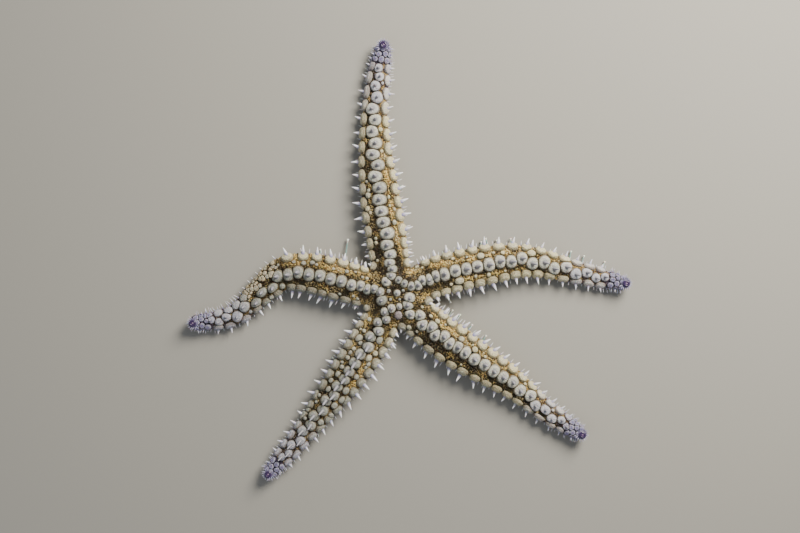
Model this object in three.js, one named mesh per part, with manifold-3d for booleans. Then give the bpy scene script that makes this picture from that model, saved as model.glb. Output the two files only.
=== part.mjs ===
// Spiny starfish (Marthasterias glacialis), life size, at rest on the floor.
// Five long arms run out of a small disc. Every arm carries a row of plump plates along its
// crest (carinals), a row along each flank (superomarginals) and a low row of thin spines
// (inferomarginals). Each plate grows one stout, pointed spine.
// Units are millimetres, +Z is up, and the middle of the model's footprint is the origin.

import * as THREE from 'three';
import { mergeGeometries, mergeVertices } from 'three/addons/utils/BufferGeometryUtils.js';
import Module from 'manifold-3d';

const wasm = await Module();
wasm.setup();

const { degToRad, lerp, radToDeg, smoothstep } = THREE.MathUtils;

// ---- driving dimensions ----

const DISC_AT = [ -7.51, -18.21 ];        // the disc's centre, seen from the footprint's middle
const DISC_RADIUS = 19.5;
const DISC_HEIGHT = 12.6;                 // top of the disc's skin
const DISC_NOTCH = { heading: 60, core: 10, edge: 38, depth: 0.19 };   // drawn in between two arms
const BODY_HALF_WIDTH = 10.8;             // of the widest arm, a third of the way out
const BODY_CLEARANCE = 1.2;               // gap under the body that the tube feet stand in
const GROOVE_DEPTH = 0.3;                 // of the arm's height, on its underside
const TIP_LIFT = 2.4;                     // how far the end of an arm curls up
const PART_GAP = 0.3;                     // slit between neighbouring nodes

// Each arm's midline in plan, from the disc's centre to its tip. Stout scales its width, slims
// is the part of it lost toward the tip, lean tips its crest sideways (+ is to the right,
// looking outward) and rake lays its crest spines over toward the tip, in degrees.
const ARMS = [
	{
		name: 'north', stout: 0.96, slims: 0.43, lean: -0.04, rake: 0,
		midline: [ [ 0, 0 ], [ -4.5, 28 ], [ -8.5, 54 ], [ -11.4, 82 ], [ -11, 108 ], [ -6.6, 138.9 ] ]
	},
	{
		name: 'east', stout: 0.97, slims: 0.5, lean: -0.02, rake: 14,
		midline: [ [ 0, 0 ], [ 24, 9.3 ], [ 48, 15 ], [ 72, 17.6 ], [ 98, 11.8 ], [ 129, 4.8 ] ]
	},
	{
		name: 'southeast', stout: 1, slims: 0.5, lean: 0.17, rake: 12,
		midline: [ [ 0, 0 ], [ 22, -20.3 ], [ 42.5, -35 ], [ 63, -48.4 ], [ 84, -65.8 ], [ 104.5, -79.3 ] ]
	},
	{
		name: 'southwest', stout: 0.95, slims: 0.5, lean: -0.05, rake: 38,
		midline: [ [ 0, 0 ], [ -12.5, -23 ], [ -25.5, -43.5 ], [ -40, -62.8 ], [ -55.8, -83 ], [ -71.8, -101.5 ] ]
	},
	{
		name: 'west', stout: 0.98, slims: 0.5, lean: -0.15, rake: 6,
		midline: [ [ 0, 0 ], [ -21, 5.2 ], [ -45, 11.4 ], [ -62, 11.4 ], [ -76, 0.5 ], [ -90, -12 ], [ -114, -17 ] ]
	}
];

// Lengths of an arm, as parts of it from the disc's centre, with the plates of one row in each.
const ROOT = { from: 0.05, to: 0.165, plates: 2 };
const BARE_ROOT = 0.08;                   // no plates nearer the centre than this
const EYESPOT_FROM = 0.963;
const LENGTHS = [
	{ name: 'inner', from: ROOT.to, to: 0.43, plates: 6, feet: [ 1, 4 ] },
	{ name: 'middle', from: 0.43, to: 0.7, plates: 6, feet: [ 1, 4 ] },
	{ name: 'outer', from: 0.7, to: EYESPOT_FROM, plates: 5, feet: [ 1 ] }
];

// A plate's cell of skin is raised in steps, each a part of the cell's width and a height.
// They end in the spine's point.
const CARINAL = { steps: [ [ 0.94, 0.8 ], [ 0.28, 1.4 ] ], spine: 3.8 };
const MARGINAL = { steps: [ [ 0.3, 1.2 ] ], spine: 4.9 };
const LOW_SPINE = { steps: [ [ 0.3, 0.2 ] ], spine: 3.8 };
const PLATE_ON_DISC = { radius: 3, steps: [ [ 0.94, 0.8 ], [ 0.28, 1.3 ] ], spine: 2.8, sunk: 1.5 };
const MOUTH = { radius: 5.5, recess: 3.2, half_height: 1.6 };
const MADREPORITE = { radius: 2.4, height: 1.1, from_centre: 12.2, heading: -84 };

// Columns of skin round an arm: the angle from its crest where each begins, and what it bears.
const COLUMNS = [
	{ from: -180, bears: 'foot' },
	{ from: -150, bears: null },
	{ from: -117, bears: LOW_SPINE },
	{ from: -89, bears: MARGINAL },
	{ from: -55, bears: null },
	{ from: -14, bears: CARINAL },
	{ from: 14, bears: null },
	{ from: 55, bears: MARGINAL },
	{ from: 89, bears: LOW_SPINE },
	{ from: 117, bears: null },
	{ from: 150, bears: 'foot' }
];

// ---- meshes and solids ----

function weld( geometry ) {

	geometry.deleteAttribute( 'normal' );
	geometry.deleteAttribute( 'uv' );
	const welded = mergeVertices( geometry, 1e-4 );
	const corners = welded.index.array;
	const kept = [];

	for ( let i = 0; i < corners.length; i += 3 ) {

		const [ a, b, c ] = corners.slice( i, i + 3 );
		if ( a !== b && b !== c && c !== a ) kept.push( a, b, c );

	}

	welded.setIndex( kept );
	return welded;

}

function toSolid( geometry ) {

	const welded = weld( geometry );
	return new wasm.Manifold( new wasm.Mesh( {
		numProp: 3,
		vertProperties: new Float32Array( welded.attributes.position.array ),
		triVerts: new Uint32Array( welded.index.array )
	} ) );

}

function fromSolid( solid ) {

	const cut = solid.getMesh();
	const geometry = new THREE.BufferGeometry();
	geometry.setAttribute( 'position', new THREE.BufferAttribute( cut.vertProperties, 3 ) );
	geometry.setIndex( new THREE.BufferAttribute( cut.triVerts, 1 ) );
	return geometry;

}

function addPart( geometry, name, look ) {

	geometry.computeVertexNormals();
	const mesh = new THREE.Mesh( geometry, new THREE.MeshStandardMaterial( look ) );
	mesh.name = name;
	starfish.add( mesh );

}

// ---- the arm's form ----

function halfWidth( arm, t ) {

	const root = lerp( 0.9, 1, smoothstep( t, 0, 0.25 ) );
	const taper = 1 - arm.slims * smoothstep( t, 0.3, 0.87 );
	const tip = 1 - 0.4 * smoothstep( t, 0.84, 1 );
	return BODY_HALF_WIDTH * arm.stout * root * taper * tip;

}

// A point of the arm: t runs along it, the angle in degrees runs round it from the crest,
// and inward shrinks the section about its own middle.
function armPoint( arm, t, angle, inward = 1 ) {

	const turn = degToRad( angle );
	const squareness = 0.8;
	const side = Math.sign( Math.sin( turn ) ) * Math.abs( Math.sin( turn ) ) ** squareness;
	const rise = Math.sign( Math.cos( turn ) ) * Math.abs( Math.cos( turn ) ) ** squareness;
	const groove = GROOVE_DEPTH * smoothstep( - Math.cos( turn ), 0.88, 1 );
	const height = 0.1 + 0.9 * halfWidth( arm, t );
	const up = 0.5 + inward * ( 0.5 * rise + groove );
	const across = halfWidth( arm, t ) * inward * side + arm.lean * height * up * up;
	const at = arm.curve.getPointAt( t );
	const ahead = arm.curve.getTangentAt( t );
	const lift = TIP_LIFT * smoothstep( t, 0.86, 1 );
	return new THREE.Vector3(
		at.x + across * ahead.y,
		at.y - across * ahead.x,
		BODY_CLEARANCE + lift + height * up
	);

}

// ---- cells of skin ----

// A plain cell between four corners, the two nearer the tip first.
function plainCell( corners ) {

	const geometry = new THREE.PlaneGeometry( 1, 1 );
	corners.forEach( ( corner, i ) => geometry.attributes.position.setXYZ( i, ...corner ) );
	return geometry;

}

// A four-sided lathe whose rim is the cell's corners: at( centre, arm, height ) places each
// ring, where arm is the step's way out from the centre to its corner.
function raisedCell( corners, profile, at ) {

	const round = [ corners[ 2 ], corners[ 3 ], corners[ 1 ], corners[ 0 ] ];
	const centre = new THREE.Vector3();
	corners.forEach( ( corner ) => centre.addScaledVector( corner, 0.25 ) );
	const geometry = new THREE.LatheGeometry( profile.map( ( step ) => new THREE.Vector2( ...step ) ), 4 );
	const position = geometry.attributes.position;

	for ( let i = 0; i < position.count; i ++ ) {

		const ring = i % profile.length;
		const corner = round[ Math.floor( i / profile.length ) % 4 ];
		const [ inset, height ] = profile[ ring ];
		position.setXYZ( i, ...at( centre, corner.clone().sub( centre ).multiplyScalar( inset ), height ) );

	}

	return geometry;

}

function plateCell( corners, plate, size, spine, rake ) {

	const ahead = corners[ 0 ].clone().add( corners[ 1 ] ).sub( corners[ 2 ] ).sub( corners[ 3 ] );
	const across = corners[ 1 ].clone().add( corners[ 3 ] ).sub( corners[ 0 ] ).sub( corners[ 2 ] );
	const normal = new THREE.Vector3().crossVectors( across, ahead ).normalize();
	const steps = plate.steps.map( ( [ inset, height ] ) => [ inset, height * size ] );
	const top = steps.at( -1 )[ 1 ];
	ahead.normalize();
	return raisedCell( corners, [ [ 1, 0 ], ...steps, [ 0, top + spine ] ], ( centre, out, height ) => {

		const over = Math.max( 0, height - top ) * Math.tan( degToRad( rake ) );
		return centre.clone().add( out ).addScaledVector( normal, height ).addScaledVector( ahead, over );

	} );

}

// A bunch of tube feet: the cell drawn down to a small flat on the floor.
function footCell( corners ) {

	return raisedCell( corners, [ [ 1, 0 ], [ 0.5, 1 ], [ 0, 1 ] ], ( centre, out, down ) => {

		const p = centre.clone().add( out );
		p.z *= 1 - down;
		return p;

	} );

}

// One length of an arm as a closed skin of cells, with a flat cap on either end.
function armLength( arm, length ) {

	const slit = PART_GAP / 2 / arm.curve.getLength();
	const begin = length.from + slit;
	const end = length.to - slit;
	const pieces = [];

	for ( let row = 0; row < length.plates; row ++ ) {

		const t0 = lerp( begin, end, row / length.plates );
		const t1 = lerp( begin, end, ( row + 1 ) / length.plates );
		const size = halfWidth( arm, t0 ) / BODY_HALF_WIDTH;
		const short = 0.5 + 0.5 * smoothstep( t0, 0.1, 0.3 );

		COLUMNS.forEach( ( column, i ) => {

			const a0 = column.from;
			const a1 = i + 1 < COLUMNS.length ? COLUMNS[ i + 1 ].from : 180;
			const corners = [
				armPoint( arm, t1, a0 ), armPoint( arm, t1, a1 ),
				armPoint( arm, t0, a0 ), armPoint( arm, t0, a1 )
			];
			const bears = t0 < BARE_ROOT ? null : column.bears;

			if ( bears === 'foot' && length.feet?.includes( row ) ) {

				pieces.push( footCell( corners ) );

			} else if ( bears && bears !== 'foot' ) {

				const rake = bears === CARINAL ? arm.rake : 8;
				const spine = bears.spine * short * ( 0.35 + 0.65 * size );
				pieces.push( plateCell( corners, bears, size, spine, rake ) );

			} else {

				pieces.push( plainCell( corners ) );

			}

		} );

	}

	for ( const t of [ begin, end ] ) pieces.push( sectionCap( arm, t, t === end ) );

	return weld( mergeGeometries( pieces.map( bare ) ) );

}

// The flat end of a length: a circle whose rim follows the arm's section.
function sectionCap( arm, t, facesTip ) {

	const geometry = new THREE.CircleGeometry( 1, COLUMNS.length );
	const position = geometry.attributes.position;

	for ( let i = 0; i < position.count; i ++ ) {

		const column = facesTip ? i - 1 : COLUMNS.length + 1 - i;
		const angle = COLUMNS[ ( column + COLUMNS.length ) % COLUMNS.length ].from;
		position.setXYZ( i, ...armPoint( arm, t, angle, i === 0 ? 0 : 1 ) );

	}

	return geometry;

}

function bare( geometry ) {

	const plain = geometry.toNonIndexed();
	plain.deleteAttribute( 'normal' );
	plain.deleteAttribute( 'uv' );
	return plain;

}

// The plate at the very tip with its eyespot, curled up a little.
function eyespotKnob( arm ) {

	const geometry = new THREE.SphereGeometry( 1, 8, 4 );
	const position = geometry.attributes.position;
	const begin = EYESPOT_FROM + PART_GAP / arm.curve.getLength();

	for ( let i = 0; i < position.count; i ++ ) {

		const out = ( position.getY( i ) + 1 ) / 2;
		const angle = radToDeg( Math.atan2( position.getX( i ), position.getZ( i ) ) );
		const inward = Math.hypot( position.getX( i ), position.getZ( i ) );
		const blunt = out > 0 && out < 0.5 ? 1 : inward;
		position.setXYZ( i, ...armPoint( arm, lerp( begin, 1, out ), angle, blunt ) );

	}

	return weld( geometry );

}

// ---- the disc ----

// The disc's radius toward a point. Between the north and east arms the skin draws in.
function discRadius( x, y ) {

	const aside = Math.abs( radToDeg( Math.atan2( y, x ) ) - DISC_NOTCH.heading );
	const notch = 1 - smoothstep( aside, DISC_NOTCH.core, DISC_NOTCH.edge );
	return DISC_RADIUS * ( 1 - DISC_NOTCH.depth * notch );

}

function discHeight( x, y ) {

	const out = Math.min( 1, Math.hypot( x, y ) / discRadius( x, y ) );
	return lerp( BODY_CLEARANCE, DISC_HEIGHT, 0.5 + 0.5 * Math.sqrt( 1 - out * out ) );

}

function discDome() {

	const half = ( DISC_HEIGHT - BODY_CLEARANCE ) / 2;
	const geometry = new THREE.SphereGeometry( 1, 15, 6 );
	geometry.rotateX( Math.PI / 2 );
	const position = geometry.attributes.position;

	for ( let i = 0; i < position.count; i ++ ) {

		const [ x, y, z ] = [ position.getX( i ), position.getY( i ), position.getZ( i ) ];
		const wide = discRadius( x, y );
		position.setXYZ( i, x * wide, y * wide, BODY_CLEARANCE + half * ( 1 + z ) );

	}

	return toSolid( geometry );

}

// Stands a shape turned about +Y on the disc, square to its surface.
function standOnDisc( geometry, heading, radius ) {

	const turn = degToRad( heading );
	const step = 0.5;
	const x = radius * Math.cos( turn );
	const y = radius * Math.sin( turn );
	const slopeX = ( discHeight( x + step, y ) - discHeight( x - step, y ) ) / ( 2 * step );
	const slopeY = ( discHeight( x, y + step ) - discHeight( x, y - step ) ) / ( 2 * step );
	const normal = new THREE.Vector3( - slopeX, - slopeY, 1 ).normalize();
	const upright = new THREE.Quaternion().setFromUnitVectors( new THREE.Vector3( 0, 1, 0 ), normal );
	geometry.applyQuaternion( upright );
	geometry.translate( x, y, discHeight( x, y ) );
	return toSolid( geometry );

}

function plateOnDisc( heading, radius, size ) {

	const { steps, spine, sunk } = PLATE_ON_DISC;
	const profile = [ [ 0, - sunk ], [ 1, - sunk ], ...steps, [ 0, steps.at( -1 )[ 1 ] + spine ] ];
	const wide = PLATE_ON_DISC.radius * size;
	const points = profile.map( ( [ out, height ] ) => new THREE.Vector2( out * wide, height * size ) );
	return standOnDisc( new THREE.LatheGeometry( points, 5 ), heading, radius );

}

function madreporite( grown ) {

	const { radius, height, heading, from_centre: fromCentre } = MADREPORITE;
	const geometry = new THREE.CylinderGeometry( 0.75 * radius + grown, radius + grown, 2 * height + grown, 12 );
	return standOnDisc( geometry, heading, fromCentre );

}

function mouthSkin( grown ) {

	const geometry = new THREE.SphereGeometry( 1, 10, 4 );
	geometry.rotateX( Math.PI / 2 );
	geometry.scale( MOUTH.radius + grown, MOUTH.radius + grown, MOUTH.half_height + grown );
	geometry.translate( 0, 0, BODY_CLEARANCE + MOUTH.recess );
	return toSolid( geometry );

}

function mouthPit() {

	const deep = 2 * MOUTH.recess;
	const geometry = new THREE.CylinderGeometry( MOUTH.radius, MOUTH.radius + 1, deep, 10 );
	geometry.rotateX( Math.PI / 2 );
	geometry.translate( 0, 0, BODY_CLEARANCE );
	return toSolid( geometry );

}

// ---- the model ----

const SKIN_LOOK = { color: 0x8a6232, roughness: 0.6, metalness: 0 };
const EYESPOT_LOOK = { color: 0x5a3f96, roughness: 0.45, metalness: 0 };
const MADREPORITE_LOOK = { color: 0xb79aa6, roughness: 0.7, metalness: 0 };
const MOUTH_LOOK = { color: 0xc9a78a, roughness: 0.5, metalness: 0 };

const starfish = new THREE.Group();
let disc = discDome();

for ( const arm of ARMS ) {

	const corners = arm.midline.map( ( [ x, y ] ) => new THREE.Vector3( x, y, 0 ) );
	arm.curve = new THREE.CatmullRomCurve3( corners, false, 'catmullrom', 0.5 );
	arm.heading = radToDeg( Math.atan2( corners[ 1 ].y, corners[ 1 ].x ) );
	disc = disc.add( toSolid( armLength( arm, ROOT ) ) );

	for ( const length of LENGTHS ) {

		addPart( armLength( arm, length ), `arm_${ arm.name }_${ length.name }`, SKIN_LOOK );

	}

	addPart( eyespotKnob( arm ), `eyespot_${ arm.name }`, EYESPOT_LOOK );

}

// One plate stands in line with each arm and one between each pair, round a middle one.
disc = disc.add( plateOnDisc( 0, 0, 0.8 ) );

ARMS.forEach( ( arm, i ) => {

	const next = ARMS[ ( i + 1 ) % ARMS.length ];
	const apart = ( arm.heading - next.heading + 360 ) % 360;
	disc = disc.add( plateOnDisc( arm.heading, 10.6, 1 ) );
	disc = disc.add( plateOnDisc( arm.heading - apart / 2, 7.9, 0.9 ) );

} );

disc = disc.subtract( mouthPit() ).subtract( mouthSkin( PART_GAP ) ).subtract( madreporite( PART_GAP ) );
addPart( fromSolid( disc ), 'disc', SKIN_LOOK );
addPart( fromSolid( madreporite( 0 ) ), 'madreporite', MADREPORITE_LOOK );
addPart( fromSolid( mouthSkin( 0 ) ), 'mouth', MOUTH_LOOK );
starfish.position.set( ...DISC_AT, 0 );

export default starfish;
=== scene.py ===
# A spiny starfish, life size, as a still museum model: one skin over disc and arms, and on it
# the plates' cushions, the spines, the soft papulae, the tube feet, the mouth, the sieve plate
# and the eyespots. Lengths are metres in the solids' own frame, with +Z up.

import math
import random

import bmesh
import bpy
import numpy as np
from mathutils import Matrix, Vector, noise
from mathutils.bvhtree import BVHTree
from mathutils.kdtree import KDTree


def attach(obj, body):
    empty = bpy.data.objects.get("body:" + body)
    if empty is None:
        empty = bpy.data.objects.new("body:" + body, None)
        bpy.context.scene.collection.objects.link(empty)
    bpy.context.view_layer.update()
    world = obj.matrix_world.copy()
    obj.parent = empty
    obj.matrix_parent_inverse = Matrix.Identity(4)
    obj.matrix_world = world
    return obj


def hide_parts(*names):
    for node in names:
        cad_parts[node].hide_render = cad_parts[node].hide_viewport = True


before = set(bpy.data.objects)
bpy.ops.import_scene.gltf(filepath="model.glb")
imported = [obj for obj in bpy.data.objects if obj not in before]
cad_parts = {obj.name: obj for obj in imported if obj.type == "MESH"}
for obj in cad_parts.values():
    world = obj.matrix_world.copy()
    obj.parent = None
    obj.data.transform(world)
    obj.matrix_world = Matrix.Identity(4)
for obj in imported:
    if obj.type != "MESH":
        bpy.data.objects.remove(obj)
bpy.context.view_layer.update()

MM = 0.001


# ---- How the arms run ----
# A live starfish has no straight arm. Each one here follows a smooth midline out of the disc,
# with a section that is flat below, round above and slimmer toward the tip, as the solids have.

DISC_AT = Vector((-7.51, -18.21)) * MM
BODY_CLEARANCE = 1.2 * MM
BODY_HALF_WIDTH = 10.8 * MM
GROOVE_DEPTH = 0.3
GROOVE_FROM = 0.88       # how squarely the section has to face down to be in the groove
TIP_LIFT = 2.4 * MM
SQUARENESS = 0.8
PINCHED_ROOT = 0.9
BLUNT_TIP = 0.4
LEAST_HEIGHT = 0.1 * MM
HEIGHT_TO_WIDTH = 0.9
POINTS_PER_STRETCH = 60

# Stout scales the width, slims is the part of it lost toward the tip, lean tips the crest to the
# right looking outward, rake lays the crest spines toward the tip, and roll turns the flank rows
# round the section. The crest plates crowd as far as dense: close is the step from one to the next
# there, and apart is the step beyond. Plump is how wide they are, stagger is how far the first ones
# stand to either side of the row, and drift is how far to the right the row runs halfway. Pitch is
# the step of the flank rows. A worn arm has lost the spines of its right flank beyond the bend.
ARMS = [
    dict(name="north", stout=0.96, slims=0.43, lean=-0.04, rake=6, roll=-7, stagger=0.5,
         drift=-0.5, dense=0.1, close=3.5, apart=6.35, plump=1.12, pitch=7.8, worn=0,
         midline=[(0, 0), (-4.5, 28), (-8.5, 54), (-11.4, 82), (-11, 108), (-6.6, 138.9)]),
    dict(name="east", stout=0.97, slims=0.5, lean=-0.02, rake=32, roll=-1, stagger=0.4,
         drift=0, dense=0.14, close=3.5, apart=6.35, plump=1.04, pitch=7.1, worn=0,
         midline=[(0, 0), (24, 9.3), (48, 15), (72, 17.6), (98, 11.8), (129, 4.8)]),
    dict(name="southeast", stout=1.0, slims=0.5, lean=0.17, rake=14, roll=5, stagger=1.2,
         drift=-1.0, dense=0.3, close=4.3, apart=6.1, plump=1.03, pitch=7.2, worn=0,
         midline=[(0, 0), (22, -20.3), (42.5, -35), (63, -48.4), (84, -65.8), (104.5, -79.3)]),
    dict(name="southwest", stout=0.95, slims=0.5, lean=-0.05, rake=48, roll=5, stagger=1.2,
         drift=0.6, dense=0.13, close=3.5, apart=5.4, plump=0.93, pitch=6.8, worn=0,
         midline=[(0, 0), (-12.5, -23), (-25.5, -43.5), (-40, -62.8), (-55.8, -83), (-71.8, -101.5)]),
    dict(name="west", stout=0.98, slims=0.5, lean=-0.15, rake=10, roll=-6, stagger=0.6,
         drift=0, dense=0.12, close=3.5, apart=6.2, plump=1.02, pitch=7.0, worn=1,
         midline=[(0, 0), (-21, 5.2), (-45, 11.4), (-62, 11.4), (-76, 0.5), (-90, -12), (-114, -17)]),
]


def step(value, low, high):
    """0 below low, 1 above high, and a smooth rise between them."""
    part = np.clip((value - low) / (high - low), 0, 1)
    part = part * part * (3 - 2 * part)
    return part if isinstance(part, np.ndarray) else float(part)


def between(low, high, part):
    return low + (high - low) * part


def lay_out(arm):
    """Runs a smooth curve through an arm's midline and keeps points on it by length."""
    corners = np.array(arm["midline"], float) * MM
    corners = np.vstack([2 * corners[0] - corners[1], corners, 2 * corners[-1] - corners[-2]])
    points = []
    for a, b, c, d in zip(corners, corners[1:], corners[2:], corners[3:]):
        for s in np.linspace(0, 1, POINTS_PER_STRETCH, endpoint=False):
            leave, arrive = 0.5 * (c - a), 0.5 * (d - b)
            points.append((2 * s**3 - 3 * s**2 + 1) * b + (s**3 - 2 * s**2 + s) * leave
                          + (3 * s**2 - 2 * s**3) * c + (s**3 - s**2) * arrive)
    points = np.array(points + [corners[-2]])
    run = np.concatenate([[0], np.cumsum(np.linalg.norm(np.diff(points, axis=0), axis=1))])
    ahead = np.gradient(points, run, axis=0)
    arm["length"] = float(run[-1])
    arm["t"], arm["at"], arm["ahead"] = run / run[-1], points + np.array(DISC_AT), ahead


for arm in ARMS:
    lay_out(arm)


def half_width(arm, t):
    """Pinched a little at the disc, even to a third of the arm, and then slimmer to a blunt tip."""
    root = between(PINCHED_ROOT, 1, step(t, 0, 0.25))
    taper = 1 - arm["slims"] * step(t, 0.3, 0.87)
    tip = 1 - BLUNT_TIP * step(t, 0.84, 1)
    return BODY_HALF_WIDTH * arm["stout"] * root * taper * tip


def arm_point(arm, t, angle, inward=1.0):
    """Points of an arm: t runs along it, and the angle in degrees runs round it from the crest."""
    t, turn = np.asarray(t, float), np.radians(np.asarray(angle, float))
    side = np.sign(np.sin(turn)) * np.abs(np.sin(turn)) ** SQUARENESS
    rise = np.sign(np.cos(turn)) * np.abs(np.cos(turn)) ** SQUARENESS
    groove = GROOVE_DEPTH * step(-np.cos(turn), GROOVE_FROM, 1)
    wide = half_width(arm, t)
    height = LEAST_HEIGHT + HEIGHT_TO_WIDTH * wide
    up = 0.5 + inward * (0.5 * rise + groove)
    across = wide * inward * side + arm["lean"] * height * up * up
    x, y = (np.interp(t, arm["t"], arm["at"][:, i]) for i in (0, 1))
    ahead_x, ahead_y = (np.interp(t, arm["t"], arm["ahead"][:, i]) for i in (0, 1))
    lift = TIP_LIFT * step(t, 0.86, 1)
    return np.stack([x + across * ahead_y, y - across * ahead_x,
                     BODY_CLEARANCE + lift + height * up], axis=-1)


# ---- Skin ----
# One leathery skin covers the disc and all five arms, over a net of small plates. It is cast in
# one piece, so no seam shows, and it lies a little inside the solids to leave room for the
# cushions and beads. On its underside each arm has an open groove, and the disc has the mouth.

DISC_RADIUS = 19.5 * MM
NOTCH_HEADING = 60       # where the disc's skin draws in, between the north and east arms
NOTCH_DEPTH = 0.19
NOTCH_SPREAD = 10, 38    # degrees aside of it, from the full depth to none
DISC_HEIGHT = 12.6 * MM
MOUTH_RADIUS = 5.5 * MM
MOUTH_RECESS = 3.2 * MM
MOUTH_EDGE = MOUTH_RADIUS * 0.75, MOUTH_RADIUS * 1.2
ARM_STARTS = 0.05
BLUNT_FROM = 0.98
TIP_CLOSED = 0.96
COAT_DEPTH = 0.45 * MM
SKIN_GRAIN = 0.72 * MM
BROAD_KNOBS, BROAD_RELIEF = 190, 0.16      # knobs to a metre, and their height in mm
FINE_KNOBS, FINE_RELIEF = 620, 0.2


def new_piece(name, mesh, finish):
    piece = bpy.data.objects.new(name, mesh)
    bpy.context.collection.objects.link(piece)
    mesh.shade_smooth()
    mesh.materials.clear()
    mesh.materials.append(finish)
    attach(piece, "root")
    return piece


def to_mesh(name, shape):
    mesh = bpy.data.meshes.new(name)
    shape.to_mesh(mesh)
    shape.free()
    return mesh


def finished(piece):
    """The mesh that a piece's modifiers make, in place of the modifiers."""
    evaluated = piece.evaluated_get(bpy.context.evaluated_depsgraph_get())
    made = bpy.data.meshes.new_from_object(evaluated)
    piece.modifiers.clear()
    piece.data = made


def rough_arm(arm):
    shape = bmesh.new()
    bmesh.ops.create_grid(shape, x_segments=150, y_segments=48, size=1)
    for vert in shape.verts:
        along, round_it = (vert.co.x + 1) / 2, vert.co.y * 180
        t = between(ARM_STARTS, 1, along)
        blunt = step(t, BLUNT_FROM, 1)
        vert.co = arm_point(arm, t, round_it, math.sqrt(1 - blunt * TIP_CLOSED))
    bmesh.ops.remove_doubles(shape, verts=shape.verts, dist=1e-6)
    bmesh.ops.holes_fill(shape, edges=[e for e in shape.edges if e.is_boundary])
    bmesh.ops.recalc_face_normals(shape, faces=shape.faces)
    return shape


def rough_disc():
    shape = bmesh.new()
    half = (DISC_HEIGHT - BODY_CLEARANCE) / 2
    middle = (*DISC_AT, BODY_CLEARANCE + half)
    place = Matrix.LocRotScale(middle, None, (DISC_RADIUS, DISC_RADIUS, half))
    bmesh.ops.create_uvsphere(shape, u_segments=64, v_segments=40, radius=1, matrix=place)
    for vert in shape.verts:
        way = vert.co.xy - DISC_AT
        aside = abs(math.degrees(math.atan2(way.y, way.x)) - NOTCH_HEADING)
        vert.co.xy = DISC_AT + way * (1 - NOTCH_DEPTH * (1 - step(aside, *NOTCH_SPREAD)))
        out = (vert.co.xy - DISC_AT).length
        pit = 1 - step(out, *MOUTH_EDGE)
        if vert.co.z < BODY_CLEARANCE + half:
            vert.co.z += pit * MOUTH_RECESS
    return shape


skin = bpy.data.objects.new("skin", bpy.data.meshes.new("skin"))
bpy.context.collection.objects.link(skin)
together = bmesh.new()
for rough in [rough_disc()] + [rough_arm(arm) for arm in ARMS]:
    part = to_mesh("rough", rough)
    together.from_mesh(part)
    bpy.data.meshes.remove(part)
skin.data = to_mesh("skin", together)
fuse = skin.modifiers.new("fuse", "REMESH")
fuse.mode = "VOXEL"
fuse.voxel_size = SKIN_GRAIN
ease = skin.modifiers.new("ease", "SMOOTH")
ease.iterations = 4
ease.factor = 0.5
finished(skin)

skin_count = len(skin.data.vertices)
skin_at = np.empty(skin_count * 3)
skin_out = np.empty(skin_count * 3)
skin.data.vertices.foreach_get("co", skin_at)
skin.data.vertices.foreach_get("normal", skin_out)
skin_at, skin_out = skin_at.reshape(-1, 3), skin_out.reshape(-1, 3)

# Every point of the skin knows how far along its arm it is, which colours the tips, how near the
# crest, where the skin is darkest, partly its own dark brown and partly painted shade, and which
# way its side of the arm faces, which sets where light and shade are painted on it.
along = np.zeros(skin_count)
nearest = np.full(skin_count, 1.0)
slim = np.ones(skin_count)
side_facing = np.zeros((skin_count, 2))
for arm in ARMS:
    tree = KDTree(len(arm["at"]))
    for i, (x, y) in enumerate(arm["at"]):
        tree.insert((x, y, 0), i)
    tree.balance()
    for i, (x, y, _) in enumerate(skin_at):
        _, index, far = tree.find((x, y, 0))
        if far < nearest[i]:
            nearest[i], along[i] = far, arm["t"][index]
            side_facing[i] = ((x, y) - arm["at"][index]) / max(far, 0.1 * MM)
            slim[i] = half_width(arm, along[i])

# The skin puckers between the plates of its net, in knobs of a millimetre or two.
smooth_skin = BVHTree.FromObject(skin, bpy.context.evaluated_depsgraph_get())
for i, (at, out) in enumerate(zip(skin_at, skin_out)):
    above = step(out[2], -0.5, 0.2)
    broad = noise.noise(Vector(at) * BROAD_KNOBS)
    fine = noise.noise(Vector(at) * FINE_KNOBS + Vector((7, 3, 5)))
    relief = MM * above * (BROAD_RELIEF * broad + FINE_RELIEF * fine)
    skin_at[i] = at + out * (-COAT_DEPTH + relief)
skin.data.vertices.foreach_set("co", skin_at.ravel())


def northeast(x, y):
    """How far a place lies to the east and north, toward the key lamp: painted light there, painted
    shade to the southwest.
    """
    return (x + 0.45 * y) / 0.2


def painted_light(x, y, side_x, side_y):
    """Painted light and shade: the skin is golden where it lies or faces east and north, toward the
    lamp, and olive brown elsewhere.
    """
    return step(0.85 * side_x + 0.5 * side_y + northeast(x, y), -0.6, 0.35)


def opening(by_disc, lamp_lit):
    """How much nearer to the crest the open band starts on a side in painted light, less so by the
    disc.
    """
    return lamp_lit * (1 - 0.6 * by_disc)


def disc_nearness(t):
    return 1 - step(t, 0.12, 0.26)


def keep_value(mesh, name, values):
    mesh.attributes.new(name, "FLOAT", "POINT").data.foreach_set("value", values)


keep_value(skin.data, "along", along)
by_disc = disc_nearness(along)
# Painted light: skin lying or facing toward the lamp in the north-east is marked lit, to be painted
# golden, and the rest olive, as painted shade.
lamp_lit = painted_light(*skin_at[:, :2].T, *side_facing.T)
open_from = 0.4 + 0.2 * by_disc - 0.22 * opening(by_disc, lamp_lit)
keep_value(skin.data, "band", step(nearest / slim, open_from, open_from + 0.2))
keep_value(skin.data, "lamp_lit", lamp_lit)
skin.data.update()


def paint(red, green, blue):
    """A colour given on a scale of 0 to 255, as the shaders want it."""
    return tuple(((c / 255 + 0.055) / 1.055) ** 2.4 if c > 10 else c / 255 / 12.92
                 for c in (red, green, blue)) + (1.0,)


def set_in(socket, value):
    """Feeds a socket from another one, or sets its value. Three numbers are a colour."""
    if isinstance(value, bpy.types.NodeSocket):
        socket.id_data.links.new(value, socket)
    elif value is not None:
        socket.default_value = paint(*value) if isinstance(value, tuple) else value


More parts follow.
